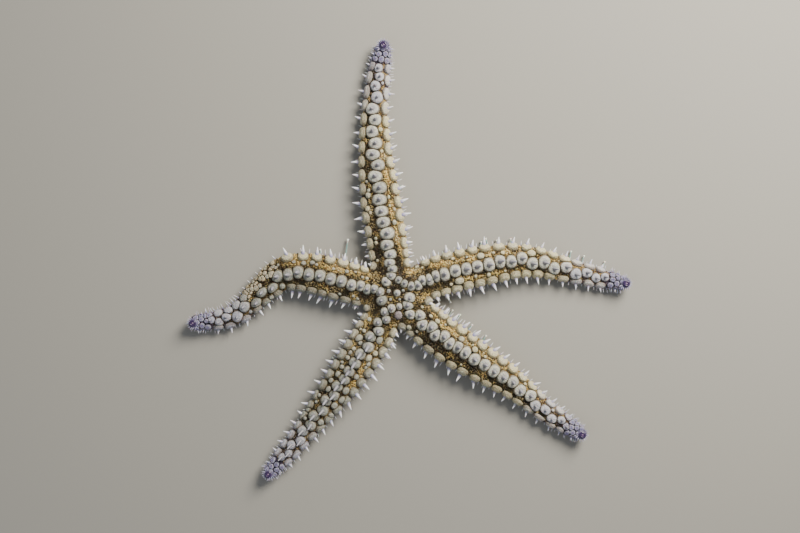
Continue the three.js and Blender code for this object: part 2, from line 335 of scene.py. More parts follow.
def node(beside, kind, *values, **named):
    """A shader node in the tree of another node or socket, with its first inputs in order. The
    named ones are properties or inputs."""
    made = beside.id_data.nodes.new("ShaderNode" + kind)
    for name, value in named.items():
        if hasattr(made, name):
            setattr(made, name, value)
    for name, value in named.items():
        if not hasattr(made, name):
            set_in(made.inputs[name], value)
    for socket, value in zip(made.inputs, values):
        set_in(socket, value)
    return made


def mixed(part, first, second):
    """The colour that is so much of the way from the first to the second."""
    made = node(part, "Mix", data_type="RGBA")
    for socket, value in ((0, part), (6, first), (7, second)):
        set_in(made.inputs[socket], value)
    return made.outputs[2]


def combined(way, one, other):
    return node(one, "Math", one, other, operation=way).outputs[0]


def times(one, other):
    return combined("MULTIPLY", one, other)


def rise(value, low, high, to_low=0.0, to_high=1.0):
    """A smooth rise of a value between two limits."""
    return node(value, "MapRange", value, low, high, to_low, to_high,
                interpolation_type="SMOOTHSTEP").outputs[0]


def own_value(beside, name):
    return node(beside, "Attribute", attribute_name=name).outputs["Fac"]


def noise_in(place, scale, detail=3.0):
    """Soft noise with so many clouds to a metre."""
    return node(place, "TexNoise", Vector=place, Scale=scale, Detail=detail).outputs[0]


def new_finish(name, **sockets):
    """A material with values on its shader's own sockets, then its shader and its place."""
    finish = bpy.data.materials.new(name)
    finish.use_nodes = True
    surface = next(n for n in finish.node_tree.nodes if n.type == "BSDF_PRINCIPLED")
    for socket, value in sockets.items():
        surface.inputs[socket.replace("_", " ")].default_value = value
    return finish, surface, node(surface, "TexCoord").outputs["Object"]


def finish_with(surface, colour, strength=0.0, deep=0.0, relief=None):
    """Gives a surface its colour, and a relief so deep where it has one."""
    set_in(surface.inputs["Base Color"], colour)
    if relief is not None:
        bump = node(surface, "Bump", Strength=strength, Distance=deep, Height=relief)
        set_in(surface.inputs["Normal"], bump.outputs[0])


def new_effect(name, inputs, outputs):
    """A shader node group with named ways in and out."""
    effect = bpy.data.node_groups.new(name, "ShaderNodeTree")
    for socket, kind in inputs.items():
        effect.interface.new_socket(socket, in_out="INPUT", socket_type="NodeSocket" + kind)
    for socket, kind in outputs.items():
        effect.interface.new_socket(socket, in_out="OUTPUT", socket_type="NodeSocket" + kind)
    given = effect.nodes.new("NodeGroupInput").outputs
    result = effect.nodes.new("NodeGroupOutput").inputs
    return effect, given, result


def use_effect(beside, effect, **inputs):
    made = node(beside, "Group")
    made.node_tree = effect
    for socket, value in inputs.items():
        set_in(made.inputs[socket], value)
    return made.outputs


# The violet of the arms' ends, which stains skin, cushions and spines alike.
tip_stain, given, result = new_effect(
    "tip_stain", {"Colour": "Color", "Stain": "Float", "Violet": "Color"}, {"Colour": "Color"})
patchy = noise_in(node(tip_stain, "TexCoord").outputs["Object"], 700.0, 2.0)
strength = times(given["Stain"], rise(patchy, 0.3, 0.7, 0.7, 1.0))
set_in(result["Colour"], mixed(strength, given["Colour"], given["Violet"]))

# Grains of tissue that touch, as soft low domes with creases between them, darkened as painted shade.
grains, given, result = new_effect(
    "grains", {"Place": "Vector", "Fineness": "Float"}, {"Height": "Float", "CreaseShade": "Float"})
cells = node(grains, "TexVoronoi", feature="SMOOTH_F1", Smoothness=0.4, Vector=given["Place"],
             Scale=given["Fineness"])
set_in(result["Height"], rise(cells.outputs["Distance"], 0.1, 0.75, 1.0, 0.0))
set_in(result["CreaseShade"], rise(cells.outputs["Distance"], 0.35, 0.8))


def stained(colour, stain, violet):
    """The colour with so much of the violet of the arms' ends."""
    return use_effect(colour, tip_stain, Colour=colour, Stain=stain, Violet=violet)["Colour"]


def grainy(place, fineness, colour, darkness, crease_shade):
    """The colour with creases between grains of tissue darkened as painted shade, and the height of the
    grains.
    """
    grain = use_effect(place, grains, Place=place, Fineness=fineness)
    return mixed(times(grain["CreaseShade"], darkness), colour, crease_shade), grain["Height"]


ochre_skin, surface, place = new_finish(
    "ochre_skin", Roughness=0.5, Specular_IOR_Level=0.28, Coat_Weight=0.06, Coat_Roughness=0.3)
clouds = node(place, "TexNoise", Vector=place, Scale=170.0, Detail=4.0, Roughness=0.6)
cloudy = rise(clouds.outputs[0], 0.38, 0.66)
# Next to the crest the skin is dark brown, partly its own colour and partly painted shade. In the open
# bands it is gold where painted light falls, and olive brown elsewhere as painted shade.
dark = mixed(cloudy, (26, 20, 9), (60, 46, 22))
gold = mixed(cloudy, (132, 103, 52), (194, 164, 100))
shade_side_olive = mixed(cloudy, (42, 35, 18), (90, 79, 46))
open_band = mixed(own_value(place, "lamp_lit"), shade_side_olive, gold)
colour = mixed(own_value(place, "band"), dark, open_band)
flecks = node(place, "TexVoronoi", Vector=place, Scale=620.0)
pale = rise(node(place, "SeparateColor", flecks.outputs["Color"]).outputs[0], 0.74, 0.8)
spot = rise(flecks.outputs["Distance"], 0.3, 0.5, 1.0, 0.0)
colour = mixed(times(pale, spot), colour, (188, 170, 126))
colour, height = grainy(place, 900.0, colour, 0.6, (44, 32, 18))
facing = node(place, "SeparateXYZ", node(place, "NewGeometry").outputs["Normal"]).outputs[2]
colour = mixed(rise(facing, -0.2, -0.7), colour, (208, 172, 120))
stain = rise(own_value(place, "along"), 0.87, 0.96)
colour = stained(colour, stain, (62, 54, 92))
ripple = times(noise_in(place, 1500.0), 0.4)
relief = combined("ADD", height, ripple)
finish_with(surface, colour, 0.7, 0.35 * MM, relief)

skin.data.shade_smooth()
skin.data.materials.clear()
skin.data.materials.append(ochre_skin)
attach(skin, "root")
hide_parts("disc", *[f"arm_{arm['name']}_{length}" for arm in ARMS
                            for length in ("inner", "middle", "outer")])


# ---- Cushions ----
# Every plate of the net under the skin bears a plump cushion, a wreath of tiny pincers packed
# round the foot of a spine. One row runs along an arm's crest and one along either flank, and
# small ones lie between. Where two meet they press each other flat and leave a thin dark joint.

CUSHION_SUNK = 0.75 * MM
ROOTED_NEAR = 2.6 * MM
JOINT = 0.14 * MM
CORNERS = 3.0            # how square a cushion's outline is: 2 is an ellipse
FLANK_ANGLE = 68
NOTCH_ROOM = 5.2 * MM
PALE_STAIN = 0.4         # up to this much the violet of an arm's end is no more than a lilac tinge
TIP_PADS_FROM = 0.918
FAR_SWAY = 1.05          # how far in mm the crest plates step to either side beyond the dense part
UNEVEN_STEPS = 0.93, 1.07
SMALL_SUNK = 0.4 * MM
WORN_FROM, WORN_TO = 0.54, 0.71
NEAR_T, NEAR_ANGLE = 0.004, 3         # how near a point's neighbours are, to find its directions
PEN, PEN_REACH = 12 * MM, 20 * MM     # how far outside a line to the skin starts, and its length
UP = Vector((0, 0, 1))
MAP_MIDDLE = Vector((0.5, 0.5))
MAP_REACH = 0.46                      # how far from the middle of its map a shape's foot lies
TUFT_PATCH = 0.003                    # how wide a bead is on the map of the skin it grows from
CUSHION_SHAPES = 8

# Sizes of the kinds of cushion. The wide ones are half widths, and lists are sizes to draw from.
CREST_WIDE = 2.7, 3.65                # in mm, by the disc and beyond
FLANK_WIDE, FLANK_HIGH = 3.1 * MM, 1.85 * MM
TIP_PAD_WIDE, TIP_PAD_HIGH = 2.15 * MM, 1.0 * MM
TIP_PAD_RINGS = TIP_PADS_FROM + 0.01, 0.95, 0.971
TIP_PAD_TURN, TIP_PADS_DOWN_TO = 46, 92        # degrees from one to the next, and from the crest
WORN_PAD_STEP, WORN_PAD_ANGLES = 2.2 * MM, (28, 48, 68, 90)
WORN_PAD_SIZES = 0.9, 1.1, 1.5, 1.9
COLUMN_PADS = (1, 1.35 * MM), (-1, 1.85 * MM)  # on which side of the crest, and how wide
SMALL_STEP = 2.4 * MM
SMALL_SIZES = 0.8, 0.9, 1.0, 1.3, 1.6, 1.9


def side_of(arm, t, angle):
    """The place of (t, angle) on an arm, with the directions ahead, to the left and out of it."""
    at = arm_point(arm, t, angle)
    ahead = arm_point(arm, t + NEAR_T, angle) - arm_point(arm, t - NEAR_T, angle)
    turning = arm_point(arm, t, angle + NEAR_ANGLE) - arm_point(arm, t, angle - NEAR_ANGLE)
    out = Vector(np.cross(turning, ahead)).normalized()
    ahead = Vector(ahead).normalized()
    return Vector(at), ahead, out.cross(ahead), out


def root_on_skin(at, out):
    """Where a line into the skin first meets it, and the way out of the skin there."""
    return smooth_skin.ray_cast(at + out * PEN, -out, PEN_REACH)[:2]


def set_on(hit, ahead, out):
    """A root with ahead laid square to out, and left across both."""
    ahead = (ahead - out * ahead.dot(out)).normalized()
    return hit, ahead, out.cross(ahead), out


def rooted(arm, t, angle):
    """A root on an arm's skin, or None where another arm or the disc buries it."""
    at, ahead, _, out = side_of(arm, t, angle)
    hit, facing = root_on_skin(at, out)
    if hit is None or (hit - at).length > ROOTED_NEAR:
        return None
    return set_on(hit, ahead, out.lerp(facing, 0.6).normalized())


def rooted_from_above(heading, out_by):
    """A root straight below a point over the disc, with its own heading as ahead."""
    turn = math.radians(heading)
    ahead = Vector((math.cos(turn), math.sin(turn), 0))
    hit, out = root_on_skin(Vector((*(DISC_AT + ahead.xy * out_by), DISC_HEIGHT)), UP)
    return None if hit is None else set_on(hit, ahead, out)


def angle_for(arm, t, aside):
    """The angle round the section at which the top of an arm lies so far aside of its midline."""
    part = min(1.0, abs(aside) / half_width(arm, t))
    return math.copysign(math.degrees(math.asin(part ** (1 / SQUARENESS))), aside)


def standing(root, ahead, left, out, long, wide, high):
    """The place of a unit shape that stands on a root, with its own length, width and height."""
    turn = Matrix((ahead, left, out)).transposed().to_4x4()
    return Matrix.Translation(root) @ turn @ Matrix.Diagonal((long, wide, high, 1))


def slimness(arm, t):
    return half_width(arm, t) / BODY_HALF_WIDTH


def side_way(left, angle):
    """The way that the side of an arm faces, as seen from above."""
    return left.xy * -math.copysign(1, angle)


def painted_lamp_falloff(root, facing=(0, 0)):
    """How much painted light a cushion gets: the ones far to the southwest, or facing there, are
    painted dull, as in shade.
    """
    return step(northeast(root.x, root.y) + 0.12 * facing[0] + 0.26 * facing[1], -0.55, 0.15)


def stain_at(t):
    """How violet the arm is there."""
    return PALE_STAIN * step(t, 0.66, 0.82) + (1 - PALE_STAIN) * step(t, 0.865, 0.95)


def stops_along(arm, first, last, spacing, chance):
    """Parts of an arm's length at which the members of a row stand."""
    stops, t = [], first
    while t < last:
        stops.append(t)
        t += spacing(arm, t) * chance.uniform(*UNEVEN_STEPS) / arm["length"]
    return stops


def bump_at(t, low, high, end=0.03):
    """1 between low and high, with soft ends, and 0 elsewhere."""
    return step(t, low, low + end) * (1 - step(t, high - end, high))


def room_at(arm, stops, i):
    """Half of the length that a member of a row has to itself."""
    before = stops[i] - stops[i - 1] if i else stops[1] - stops[0]
    after = stops[i + 1] - stops[i] if i + 1 < len(stops) else before
    return (before + after) / 4 * arm["length"]


def row_of(first, last, spacing, chance, sides=(-1, 1), loose=0.0):
    """The members of a row on each side of each arm: the arm, the side, how far along it is, its
    number and its room. A loose row starts up to so much further out."""
    for arm in ARMS:
        for side in sides:
            start = first + loose * chance.random() if loose else first
            stops = stops_along(arm, start, last, spacing, chance)
            for i, t in enumerate(stops):
                yield arm, side, t, i, room_at(arm, stops, i)


cushions = []


def new_cushion(row, found, long, wide, high, t, own, sunk=CUSHION_SUNK, **more):
    """Notes a cushion in its row and among all of them. High counts from the skin."""
    root, ahead, left, out = found
    cushion = dict(root=root, ahead=ahead, left=left, out=out, long=long, wide=wide, t=t, own=own,
                   high=high, stain=stain_at(t), top=root + out * high, **more)
    cushion["place"] = standing(root - out * sunk, ahead, left, out, long, wide, high + sunk)
    row.append(cushion)
    cushions.append(cushion)


def reach_toward(cushion, way):
    """How far a cushion's rim is from its root in a direction."""
    x = way.dot(cushion["ahead"]) / cushion["long"]
    y = way.dot(cushion["left"]) / cushion["wide"]
    return (abs(x) ** CORNERS + abs(y) ** CORNERS + 1e-9) ** (-1 / CORNERS)


def index_cushions():
    tree = KDTree(len(cushions))
    for i, cushion in enumerate(cushions):
        tree.insert(cushion["root"], i)
    tree.balance()
    return tree


def clearance(point, tree):
    """How far a point of the skin is from the nearest cushion's rim: less than 0 is under one."""
    nearest_rim = 9 * MM
    for _, index, far in tree.find_range(point, 8 * MM):
        way = (point - cushions[index]["root"]) / max(far, 1e-6)
        nearest_rim = min(nearest_rim, far - reach_toward(cushions[index], way))
    return nearest_rim


def pressed(points, cushion):
    """Pushes a cushion's points back from the cushions beside it, and says which were pushed."""
    root, walls = np.array(cushion["root"]), np.zeros(len(points))
    for _, index, far in cushion_tree.find_range(cushion["root"], 10 * MM):
        other = cushions[index]
        if other is cushion:
            continue
        way = (other["root"] - cushion["root"]) / far
        mine, theirs = reach_toward(cushion, way), reach_toward(other, way)
        if mine + theirs < far - JOINT:
            continue
        wall = far * mine / (mine + theirs) - JOINT / 2
        over = np.maximum((points - root) @ np.array(way) - wall, 0)
        points = points - np.outer(over, way)
        walls[over > 0] = 0.93
    return points, walls


# The crest: straight and close by the disc, stepping from side to side further out.
crest_row, disc_ring, flank_rows, tip_pads, small_ones, worn_pads = [], [], [], [], [], []
chance = random.Random(11)


def crowded(arm, t):
    """1 by the disc, where an arm's crest plates crowd, and 0 further out."""
    return 1 - step(t, arm["dense"] - 0.02, arm["dense"] + 0.1)


def crest_spacing(arm, t):
    step_here = between(arm["apart"], arm["close"], crowded(arm, t))
    return MM * step_here * (1 - 0.5 * step(t, 0.7, 1.0))


def crest_sway(arm, t):
    """How far to either side of the row a crest plate stands."""
    sway = arm["stagger"] * (1 - step(t, 0.22, 0.36))
    sway += FAR_SWAY * step(t, arm["dense"] + 0.22, arm["dense"] + 0.45)
    return sway * MM * (1 - 0.3 * step(t, 0.8, 0.96))


for arm, _, t, i, room in row_of(0.07, TIP_PADS_FROM, crest_spacing, chance, sides=(0,)):
    aside = (1 if i % 2 else -1) * crest_sway(arm, t)
    aside += chance.uniform(-0.35, 0.35) * MM + arm["drift"] * MM * bump_at(t, 0.2, 0.8, 0.15)
    wide = MM * between(*CREST_WIDE, step(t, 0.07, 0.24))
    wide *= (1 - 0.42 * step(t, 0.68, 0.95)) * chance.uniform(0.95, 1.07)
    long = room * between(1.2, 1.6, crowded(arm, t))
    high = 0.5 * wide
    wide *= arm["plump"]
    hurt = arm["worn"] * bump_at(t, WORN_FROM, WORN_TO + 0.02)
    wide *= 1 - 0.3 * hurt
    aside -= 1.6 * MM * hurt
    found = rooted(arm, t, angle_for(arm, t, aside)) or rooted(arm, t, 0)
    if found:
        # A cushion's own number is a random tone times the painted light on it.
        own = chance.uniform(0.4, 1) * painted_lamp_falloff(found[0])
        new_cushion(crest_row, found, long, wide, high, t, own, arm=arm, aside=aside)

# The disc: a ring of plates round one in the middle, and two or three small ones between.
DISC_CUSHIONS = [          # heading in degrees, distance from the middle and half width in mm
    (0, 0.6, 2.0), (165, 4.2, 1.3), (130, 8.3, 2.8), (206, 8.7, 3.1), (261, 8.3, 2.0), (284, 7.6, 2.0),
    (340, 7.8, 3.2), (49, 6.9, 2.5), (79, 7.3, 2.4), (228, 4.6, 0.9), (20, 4.2, 0.9), (300, 4.0, 0.8),
]
CROWDED_OUT = 0.55         # nearer than this part of both their widths, a plate has no room


def nearness(found, wide):
    """How near a root is to the nearest cushion, as a part of both half widths."""
    return min((found[0] - other["root"]).length / (other["wide"] + wide) for other in cushions)


for heading, out_by, wide in DISC_CUSHIONS:
    found = rooted_from_above(heading, out_by * MM)
    if nearness(found, wide * MM) > CROWDED_OUT:
        long = wide * MM * chance.uniform(0.95, 1.1)
        new_cushion(disc_ring, found, long, wide * MM, 1.7 * MM * wide / 3, 0.0, chance.random())

# The flanks: longer and creamier, each the foot of a stout spine that points outward. They sit
# where the top of the arm turns down to its side.
chance = random.Random(23)


def flank_spacing(arm, t):
    by_disc = MM * between(5.4, arm["pitch"], step(t, 0.1, 0.26))
    return by_disc * (1 - 0.45 * step(t, 0.78, 0.98))


for arm, side, t, _, room in row_of(0.11, TIP_PADS_FROM, flank_spacing, chance, loose=0.01):
    worn = arm["worn"] * (side > 0) * step(t, WORN_FROM, WORN_FROM + 0.04)
    angle = side * FLANK_ANGLE + arm["roll"] + chance.uniform(-3, 3) - 20 * worn
    found = rooted(arm, t, angle)
    if found is None or worn and t < WORN_TO:
        continue
    size = slimness(arm, t) ** 0.6
    wide = FLANK_WIDE * size * chance.uniform(0.92, 1.08)
    wide *= between(0.75, 1, step(t, 0.12, 0.3))
    wide *= between(1, 1.1, step(t, 0.35, 0.6))
    long = room * chance.uniform(0.88, 0.98)
    long *= between(1.12, 1, step(t, 0.2, 0.35))
    if any((c["root"] - found[0]).length < (1.35 * long if c["arm"] is arm else NOTCH_ROOM)
           for c in flank_rows):
        continue
    own = chance.uniform(0.6, 1) * painted_lamp_falloff(found[0], side_way(found[2], angle))
    new_cushion(flank_rows, found, long, wide, FLANK_HIGH * size, t, own, arm=arm, side=side,
                worn=worn)

# The arm's end: all rows give way to a pavement of small pads up to the eyespot.
for arm in ARMS:
    for ring, t in enumerate(TIP_PAD_RINGS):
        first = -TIP_PADS_DOWN_TO + TIP_PAD_TURN // 2 * (ring % 2)
        for angle in range(first, TIP_PADS_DOWN_TO + 1, TIP_PAD_TURN):
            t_here = t + chance.uniform(-0.004, 0.004)
            found = rooted(arm, t_here, angle + chance.uniform(-6, 6))
            if found is None:
                continue
            long, wide = (TIP_PAD_WIDE * chance.uniform(0.85, 1.15) for _ in range(2))
            new_cushion(tip_pads, found, long, wide, TIP_PAD_HIGH, t_here, chance.random(), arm=arm,
                        angle=angle)

# Where the worn arm was hurt, at the outside of its bend, small uneven pads have grown instead.
chance = random.Random(29)
for arm, _, t, *_ in row_of(0.535, 0.705, lambda arm, t: WORN_PAD_STEP, chance, sides=(1,)):
    for angle in WORN_PAD_ANGLES:
        found = rooted(arm, t + chance.uniform(-0.008, 0.008), angle + chance.uniform(-10, 10))
        if arm["worn"] and found and chance.random() < 0.93:
            wide = MM * chance.choice(WORN_PAD_SIZES) * chance.uniform(0.9, 1.1)
            own = chance.uniform(0.4, 1)
            new_cushion(worn_pads, found, wide * chance.uniform(0.8, 1.5), wide,
                        MM * chance.uniform(0.4, 1.0), t, own, sunk=SMALL_SUNK)

# On the southwest arm a column of round pads runs along either side of the crest.
chance = random.Random(31)
for cushion in crest_row:
    arm, t = cushion["arm"], cushion["t"]
    if arm["rake"] > 40 and 0.2 < t < 0.7:
        for side, wide in COLUMN_PADS:
            aside = cushion["aside"] + side * (cushion["wide"] + wide * 0.95)
            found = rooted(arm, t + chance.uniform(-0.008, 0.008), angle_for(arm, t, aside))
            if found and chance.random() < 0.72:
                wide *= chance.uniform(0.85, 1.1)
                own = chance.uniform(0.2, 1.2) * painted_lamp_falloff(found[0])
                long = wide * chance.uniform(0.9, 1.25)
                new_cushion(small_ones, found, long, wide, wide * 0.75, t, own, sunk=SMALL_SUNK)

# Between the rows: here and there a small plate, clear of all the larger ones.
chance = random.Random(37)
tree_so_far = index_cushions()
LAST_PLACED = 12         # how many of the small ones just placed a new one is kept clear of
for arm, side, t, *_ in row_of(0.12, 0.9, lambda arm, t: SMALL_STEP, chance):
    if chance.random() < 0.15:
        continue
    widest = between(78, 54, step(t, 0.18, 0.24))
    found = rooted(arm, t, side * chance.uniform(24, widest) + arm["roll"] * 0.7)
    wide = MM * chance.choice(SMALL_SIZES) * chance.uniform(0.9, 1.1)
    if found is None:
        continue
    if clearance(found[0], tree_so_far) < wide * 0.45:
        wide = 0.9 * MM
        if clearance(found[0], tree_so_far) < wide * 0.5:
            continue
    if any((found[0] - other["root"]).length < other["wide"] + wide
           for other in small_ones[-LAST_PLACED:]):
        continue
    own = chance.uniform(0.4, 1) * painted_lamp_falloff(found[0])
    long = wide * chance.uniform(0.95, 1.35)
    new_cushion(small_ones, found, long, wide, wide * 0.75, t, own, sunk=SMALL_SUNK)

cushion_tree = index_cushions()


def ball(around, down):
    """A sphere one unit in radius, to be pushed into shape."""
    shape = bmesh.new()
    bmesh.ops.create_uvsphere(shape, u_segments=around, v_segments=down, radius=1)
    return shape


def umbrella(shape):
    """Opens a round shape out like an umbrella, from its top, as its map."""
    uv = shape.loops.layers.uv.new("OFBake")
    low, high = (pick(v.co.z for v in shape.verts) for pick in (min, max))
    for face in shape.faces:
        middle = face.calc_center_median()
        for loop in face.loops:
            co = loop.vert.co
            side = co.xy if co.xy.length > 1e-4 or co.z > (low + high) / 2 else middle.xy
            far = MAP_REACH * math.acos(max(-1, min(1, 2 * (co.z - low) / (high - low) - 1))) / math.pi
            heading = side.normalized() if side.length > 1e-6 else Vector((0, 0))
            loop[uv].uv = MAP_MIDDLE + heading * far


def set_reach(shape, measure):
    """How far each point is from the root or the middle, for the finish to read."""
    reach = shape.verts.layers.float.new("reach")
    for vert in shape.verts:
        vert[reach] = measure(vert.co)


def shaped(name, shape, measure):
    """The mesh of a round shape, with its reach and its map."""
    set_reach(shape, measure)
    umbrella(shape)
    return to_mesh(name, shape)


def cushion_shape(seed):
    """A cushion one unit long, wide and high to its rim, with a dimple round the spine's foot."""
    shape = ball(12, 7)
    for vert in shape.verts:
        x, y, z = vert.co
        flat = math.hypot(x, y)
        if flat > 1e-6:
            across, along_it = x / flat, y / flat
            outline = (abs(across) ** CORNERS + abs(along_it) ** CORNERS) ** (-1 / CORNERS)
            lobes = 1.06 + 0.08 * noise.noise(Vector((across, along_it, seed * 3.7)) * 1.6)
            rim = outline * lobes * flat ** 0.66
            x, y = rim * across, rim * along_it
        z = z * (1.0 if z > 0 else 0.5) - 0.06 * math.exp(-(flat / 0.3) ** 2) * (z > 0)
        vert.co = (x, y, z)
    return shaped("cushion", shape, lambda co: min(1.0, co.xy.length))


def arrays_of(mesh):
    """A shape's points, corners, faces, map and reach, as arrays to copy."""
    count, corners, faces = len(mesh.vertices), len(mesh.loops), len(mesh.polygons)
    at, uv, reach = np.empty(count * 3), np.empty(corners * 2), np.empty(count)
    corner, start = np.empty(corners, int), np.empty(faces, int)
    mesh.vertices.foreach_get("co", at)
    mesh.loops.foreach_get("vertex_index", corner)
    mesh.polygons.foreach_get("loop_start", start)
    mesh.uv_layers["OFBake"].uv.foreach_get("vector", uv)
    mesh.attributes["reach"].data.foreach_get("value", reach)
    return at.reshape(-1, 3), corner, start, uv.reshape(-1, 2), reach


def planted(name, shapes, plants, pressing=None):
    """One mesh of many like things. A plant is (shape, place, own number, stain, root on the map).
    Without a root on the map each thing has a square of the map to itself."""
    squares = math.ceil(math.sqrt(len(plants)))
    kept = [arrays_of(shape) for shape in shapes]
    at, corner, start, uv, reach, own, stain = [], [], [], [], [], [], []
    points = corners = 0
    for i, (kind, place, number, violet, root) in enumerate(plants):
        shape_at, shape_corner, shape_start, shape_uv, shape_reach = kept[kind]
        place = np.array(place)
        placed = shape_at @ place[:3, :3].T + place[:3, 3]
        if pressing:
            placed, walls = pressed(placed, pressing[i])
            shape_reach = np.maximum(shape_reach, walls)
        at.append(placed)
        corner.append(shape_corner + points)
        start.append(shape_start + corners)
        if root is None:
            uv.append((shape_uv + (i % squares, i // squares)) / squares)
        else:
            uv.append(np.array(root) + (shape_uv - 0.5) * TUFT_PATCH)
        reach.append(shape_reach)
        own.append(np.full(len(shape_at), number))
        stain.append(np.full(len(shape_at), violet))
        points += len(shape_at)
        corners += len(shape_corner)
    mesh = bpy.data.meshes.new(name)
    mesh.vertices.add(points)
    mesh.loops.add(corners)
    mesh.polygons.add(sum(len(s) for s in start))
    mesh.vertices.foreach_set("co", np.concatenate(at).ravel())
    mesh.loops.foreach_set("vertex_index", np.concatenate(corner))
    mesh.polygons.foreach_set("loop_start", np.concatenate(start))
    mesh.update(calc_edges=True)
    mesh.uv_layers.new(name="OFBake").uv.foreach_set("vector", np.concatenate(uv).ravel())
    for value, numbers in (("reach", reach), ("own", own), ("stain", stain)):
        keep_value(mesh, value, np.concatenate(numbers))
    return mesh


def planted_piece(name, shapes, plants, finish, pressing=None):
    return new_piece(name, planted(name, shapes, plants, pressing), finish)


def cushion_piece(name, row, finish, grain_depth):
    """A row as one mesh, rounded, with the low relief of packed grains."""
    chance = random.Random(len(row))
    plants = [(chance.randrange(CUSHION_SHAPES), c["place"], c["own"], c["stain"], None) for c in row]
    piece = planted_piece(name, cushion_shapes, plants, finish, row)
    round_off = piece.modifiers.new("round_off", "SUBSURF")
    round_off.levels = round_off.render_levels = 1
    pimples = bpy.data.textures.new(name + "_pimples", "CLOUDS")
    pimples.noise_scale = 0.9 * MM
    lumps = piece.modifiers.new("lumps", "DISPLACE")
    lumps.texture = pimples
    lumps.texture_coords = "LOCAL"
    lumps.strength = grain_depth


# The tissue of all cushions: off-white, faintly mottled, darker and browner down at the rim.
wreath, given, result = new_effect(
    "wreath_tissue", {"Cream": "Color", "Spot": "Float", "Rim": "Float"},
    {"Colour": "Color", "Height": "Float"})
place = node(wreath, "TexCoord").outputs["Object"]
reach = own_value(wreath, "reach")
cloudy = rise(noise_in(place, 600.0, 4.0), 0.35, 0.65)
colour = mixed(cloudy, (156, 158, 154), (206, 205, 192))
own = own_value(wreath, "own")
# The own number holds painted light: a high one is painted creamier, as lit, and a low one dull grey,
# as painted shade, with some tone that differs at random.
colour = mixed(times(own, 0.75), colour, given["Cream"])
colour = mixed(rise(own, 0.1, 0.6, 0.75, 0.0), colour, (150, 152, 142))
colour, height = grainy(place, 1900.0, colour, 0.5, (112, 104, 84))
spot = times(rise(reach, 0.1, 0.66, 1.0, 0.0), given["Spot"])
colour = mixed(spot, colour, (138, 139, 146))
stain = own_value(wreath, "stain")
colour = mixed(rise(stain, 0.0, PALE_STAIN, 0.0, 0.6), colour, (184, 183, 202))
colour = stained(colour, rise(stain, PALE_STAIN, 1.0), (146, 144, 166))
at_tip = rise(stain, PALE_STAIN, 0.9)
core = times(rise(reach, 0.1, 0.85, 0.75, 0.0), at_tip)
colour = mixed(core, colour, (98, 88, 138))
dark_rim = combined("MAXIMUM", given["Rim"], at_tip)
rim = times(rise(reach, 0.86, 0.98), dark_rim)
colour = mixed(rim, colour, mixed(at_tip, (90, 72, 40), (58, 50, 66)))
set_in(result["Colour"], colour)
set_in(result["Height"], height)


def cushion_finish(name, cream, spot, rim):
    finish, surface, _ = new_finish(
        name, Roughness=0.55, Specular_IOR_Level=0.35, Subsurface_Weight=0.1,
        Subsurface_Scale=0.8 * MM, Coat_Weight=0.08, Coat_Roughness=0.35)
    tissue = use_effect(surface, wreath, Cream=cream, Spot=spot, Rim=rim)
    finish_with(surface, tissue["Colour"], 0.85, 0.28 * MM, tissue["Height"])
    return finish


crest_finish = cushion_finish("crest_cushion", (220, 218, 202), 0.85, 0.65)
flank_finish = cushion_finish("flank_cushion", (232, 220, 168), 0.0, 0.5)
worn_finish = cushion_finish("worn_cushion", (202, 182, 138), 0.15, 0.8)
cushion_shapes = [cushion_shape(seed) for seed in range(CUSHION_SHAPES)]
cushion_piece("crest_cushions", crest_row + disc_ring, crest_finish, 0.3 * MM)
cushion_piece("flank_cushions", flank_rows + tip_pads, flank_finish, 0.3 * MM)
cushion_piece("small_cushions", small_ones, flank_finish, 0.2 * MM)
cushion_piece("worn_cushions", worn_pads, worn_finish, 0.5 * MM)


# ---- Crest spines ----
# One short, blunt, conical spine of chalk stands in each crest cushion. It is slate-lilac, and
# it is sheathed in thin skin. On the southwest arm the spines lie well over toward the tip.

SPINE_SUNK = 0.8 * MM
CREST_SPINE_RADIUS = 1.45 * MM
DISC_SPINE_RADIUS, DISC_SPINE_LENGTH = 0.95 * MM, 2.5 * MM


def rod(segments, cuts):
    """A closed rod one unit in radius and one unit tall, cut across so that it can be shaped."""
    shape = bmesh.new()
    bmesh.ops.create_cone(shape, cap_ends=True, cap_tris=True, segments=segments, radius1=1,
                          radius2=1, depth=1, matrix=Matrix.Translation((0, 0, 0.5)))
    sides = [e for e in shape.edges if abs(e.verts[0].co.z - e.verts[1].co.z) > 0.5]
    bmesh.ops.subdivide_edges(shape, edges=sides, cuts=cuts)
    return shape


def spine_shape(bend, blunt):
    """A spine one unit long on a rounded foot one unit in radius, with its tip at the top."""
    shape = rod(10, 4)
    for vert in shape.verts:
        up = vert.co.z ** 1.3
        middle_of_cap = vert.co.xy.length < 0.01
        taper = between(1.0, blunt, up) * (0.7 if up < 0.01 else 1.0)
        vert.co = (vert.co.x * taper + bend * up * up, vert.co.y * taper, up)
        if middle_of_cap:
            vert.co.z = 1.0 + 0.3 * blunt if up > 0.5 else -0.08
    return shaped("spine", shape, lambda co: max(0.0, min(1.0, co.z)))


def aimed(root, way, radius, long, spin=0.0):
    """The place of a spine that stands on a root and points the given way."""
    turn = way.to_track_quat("Z", "X").to_matrix().to_4x4()
    return (Matrix.Translation(root) @ turn @ Matrix.Rotation(spin, 4, "Z")
            @ Matrix.Diagonal((radius, radius, long, 1)))


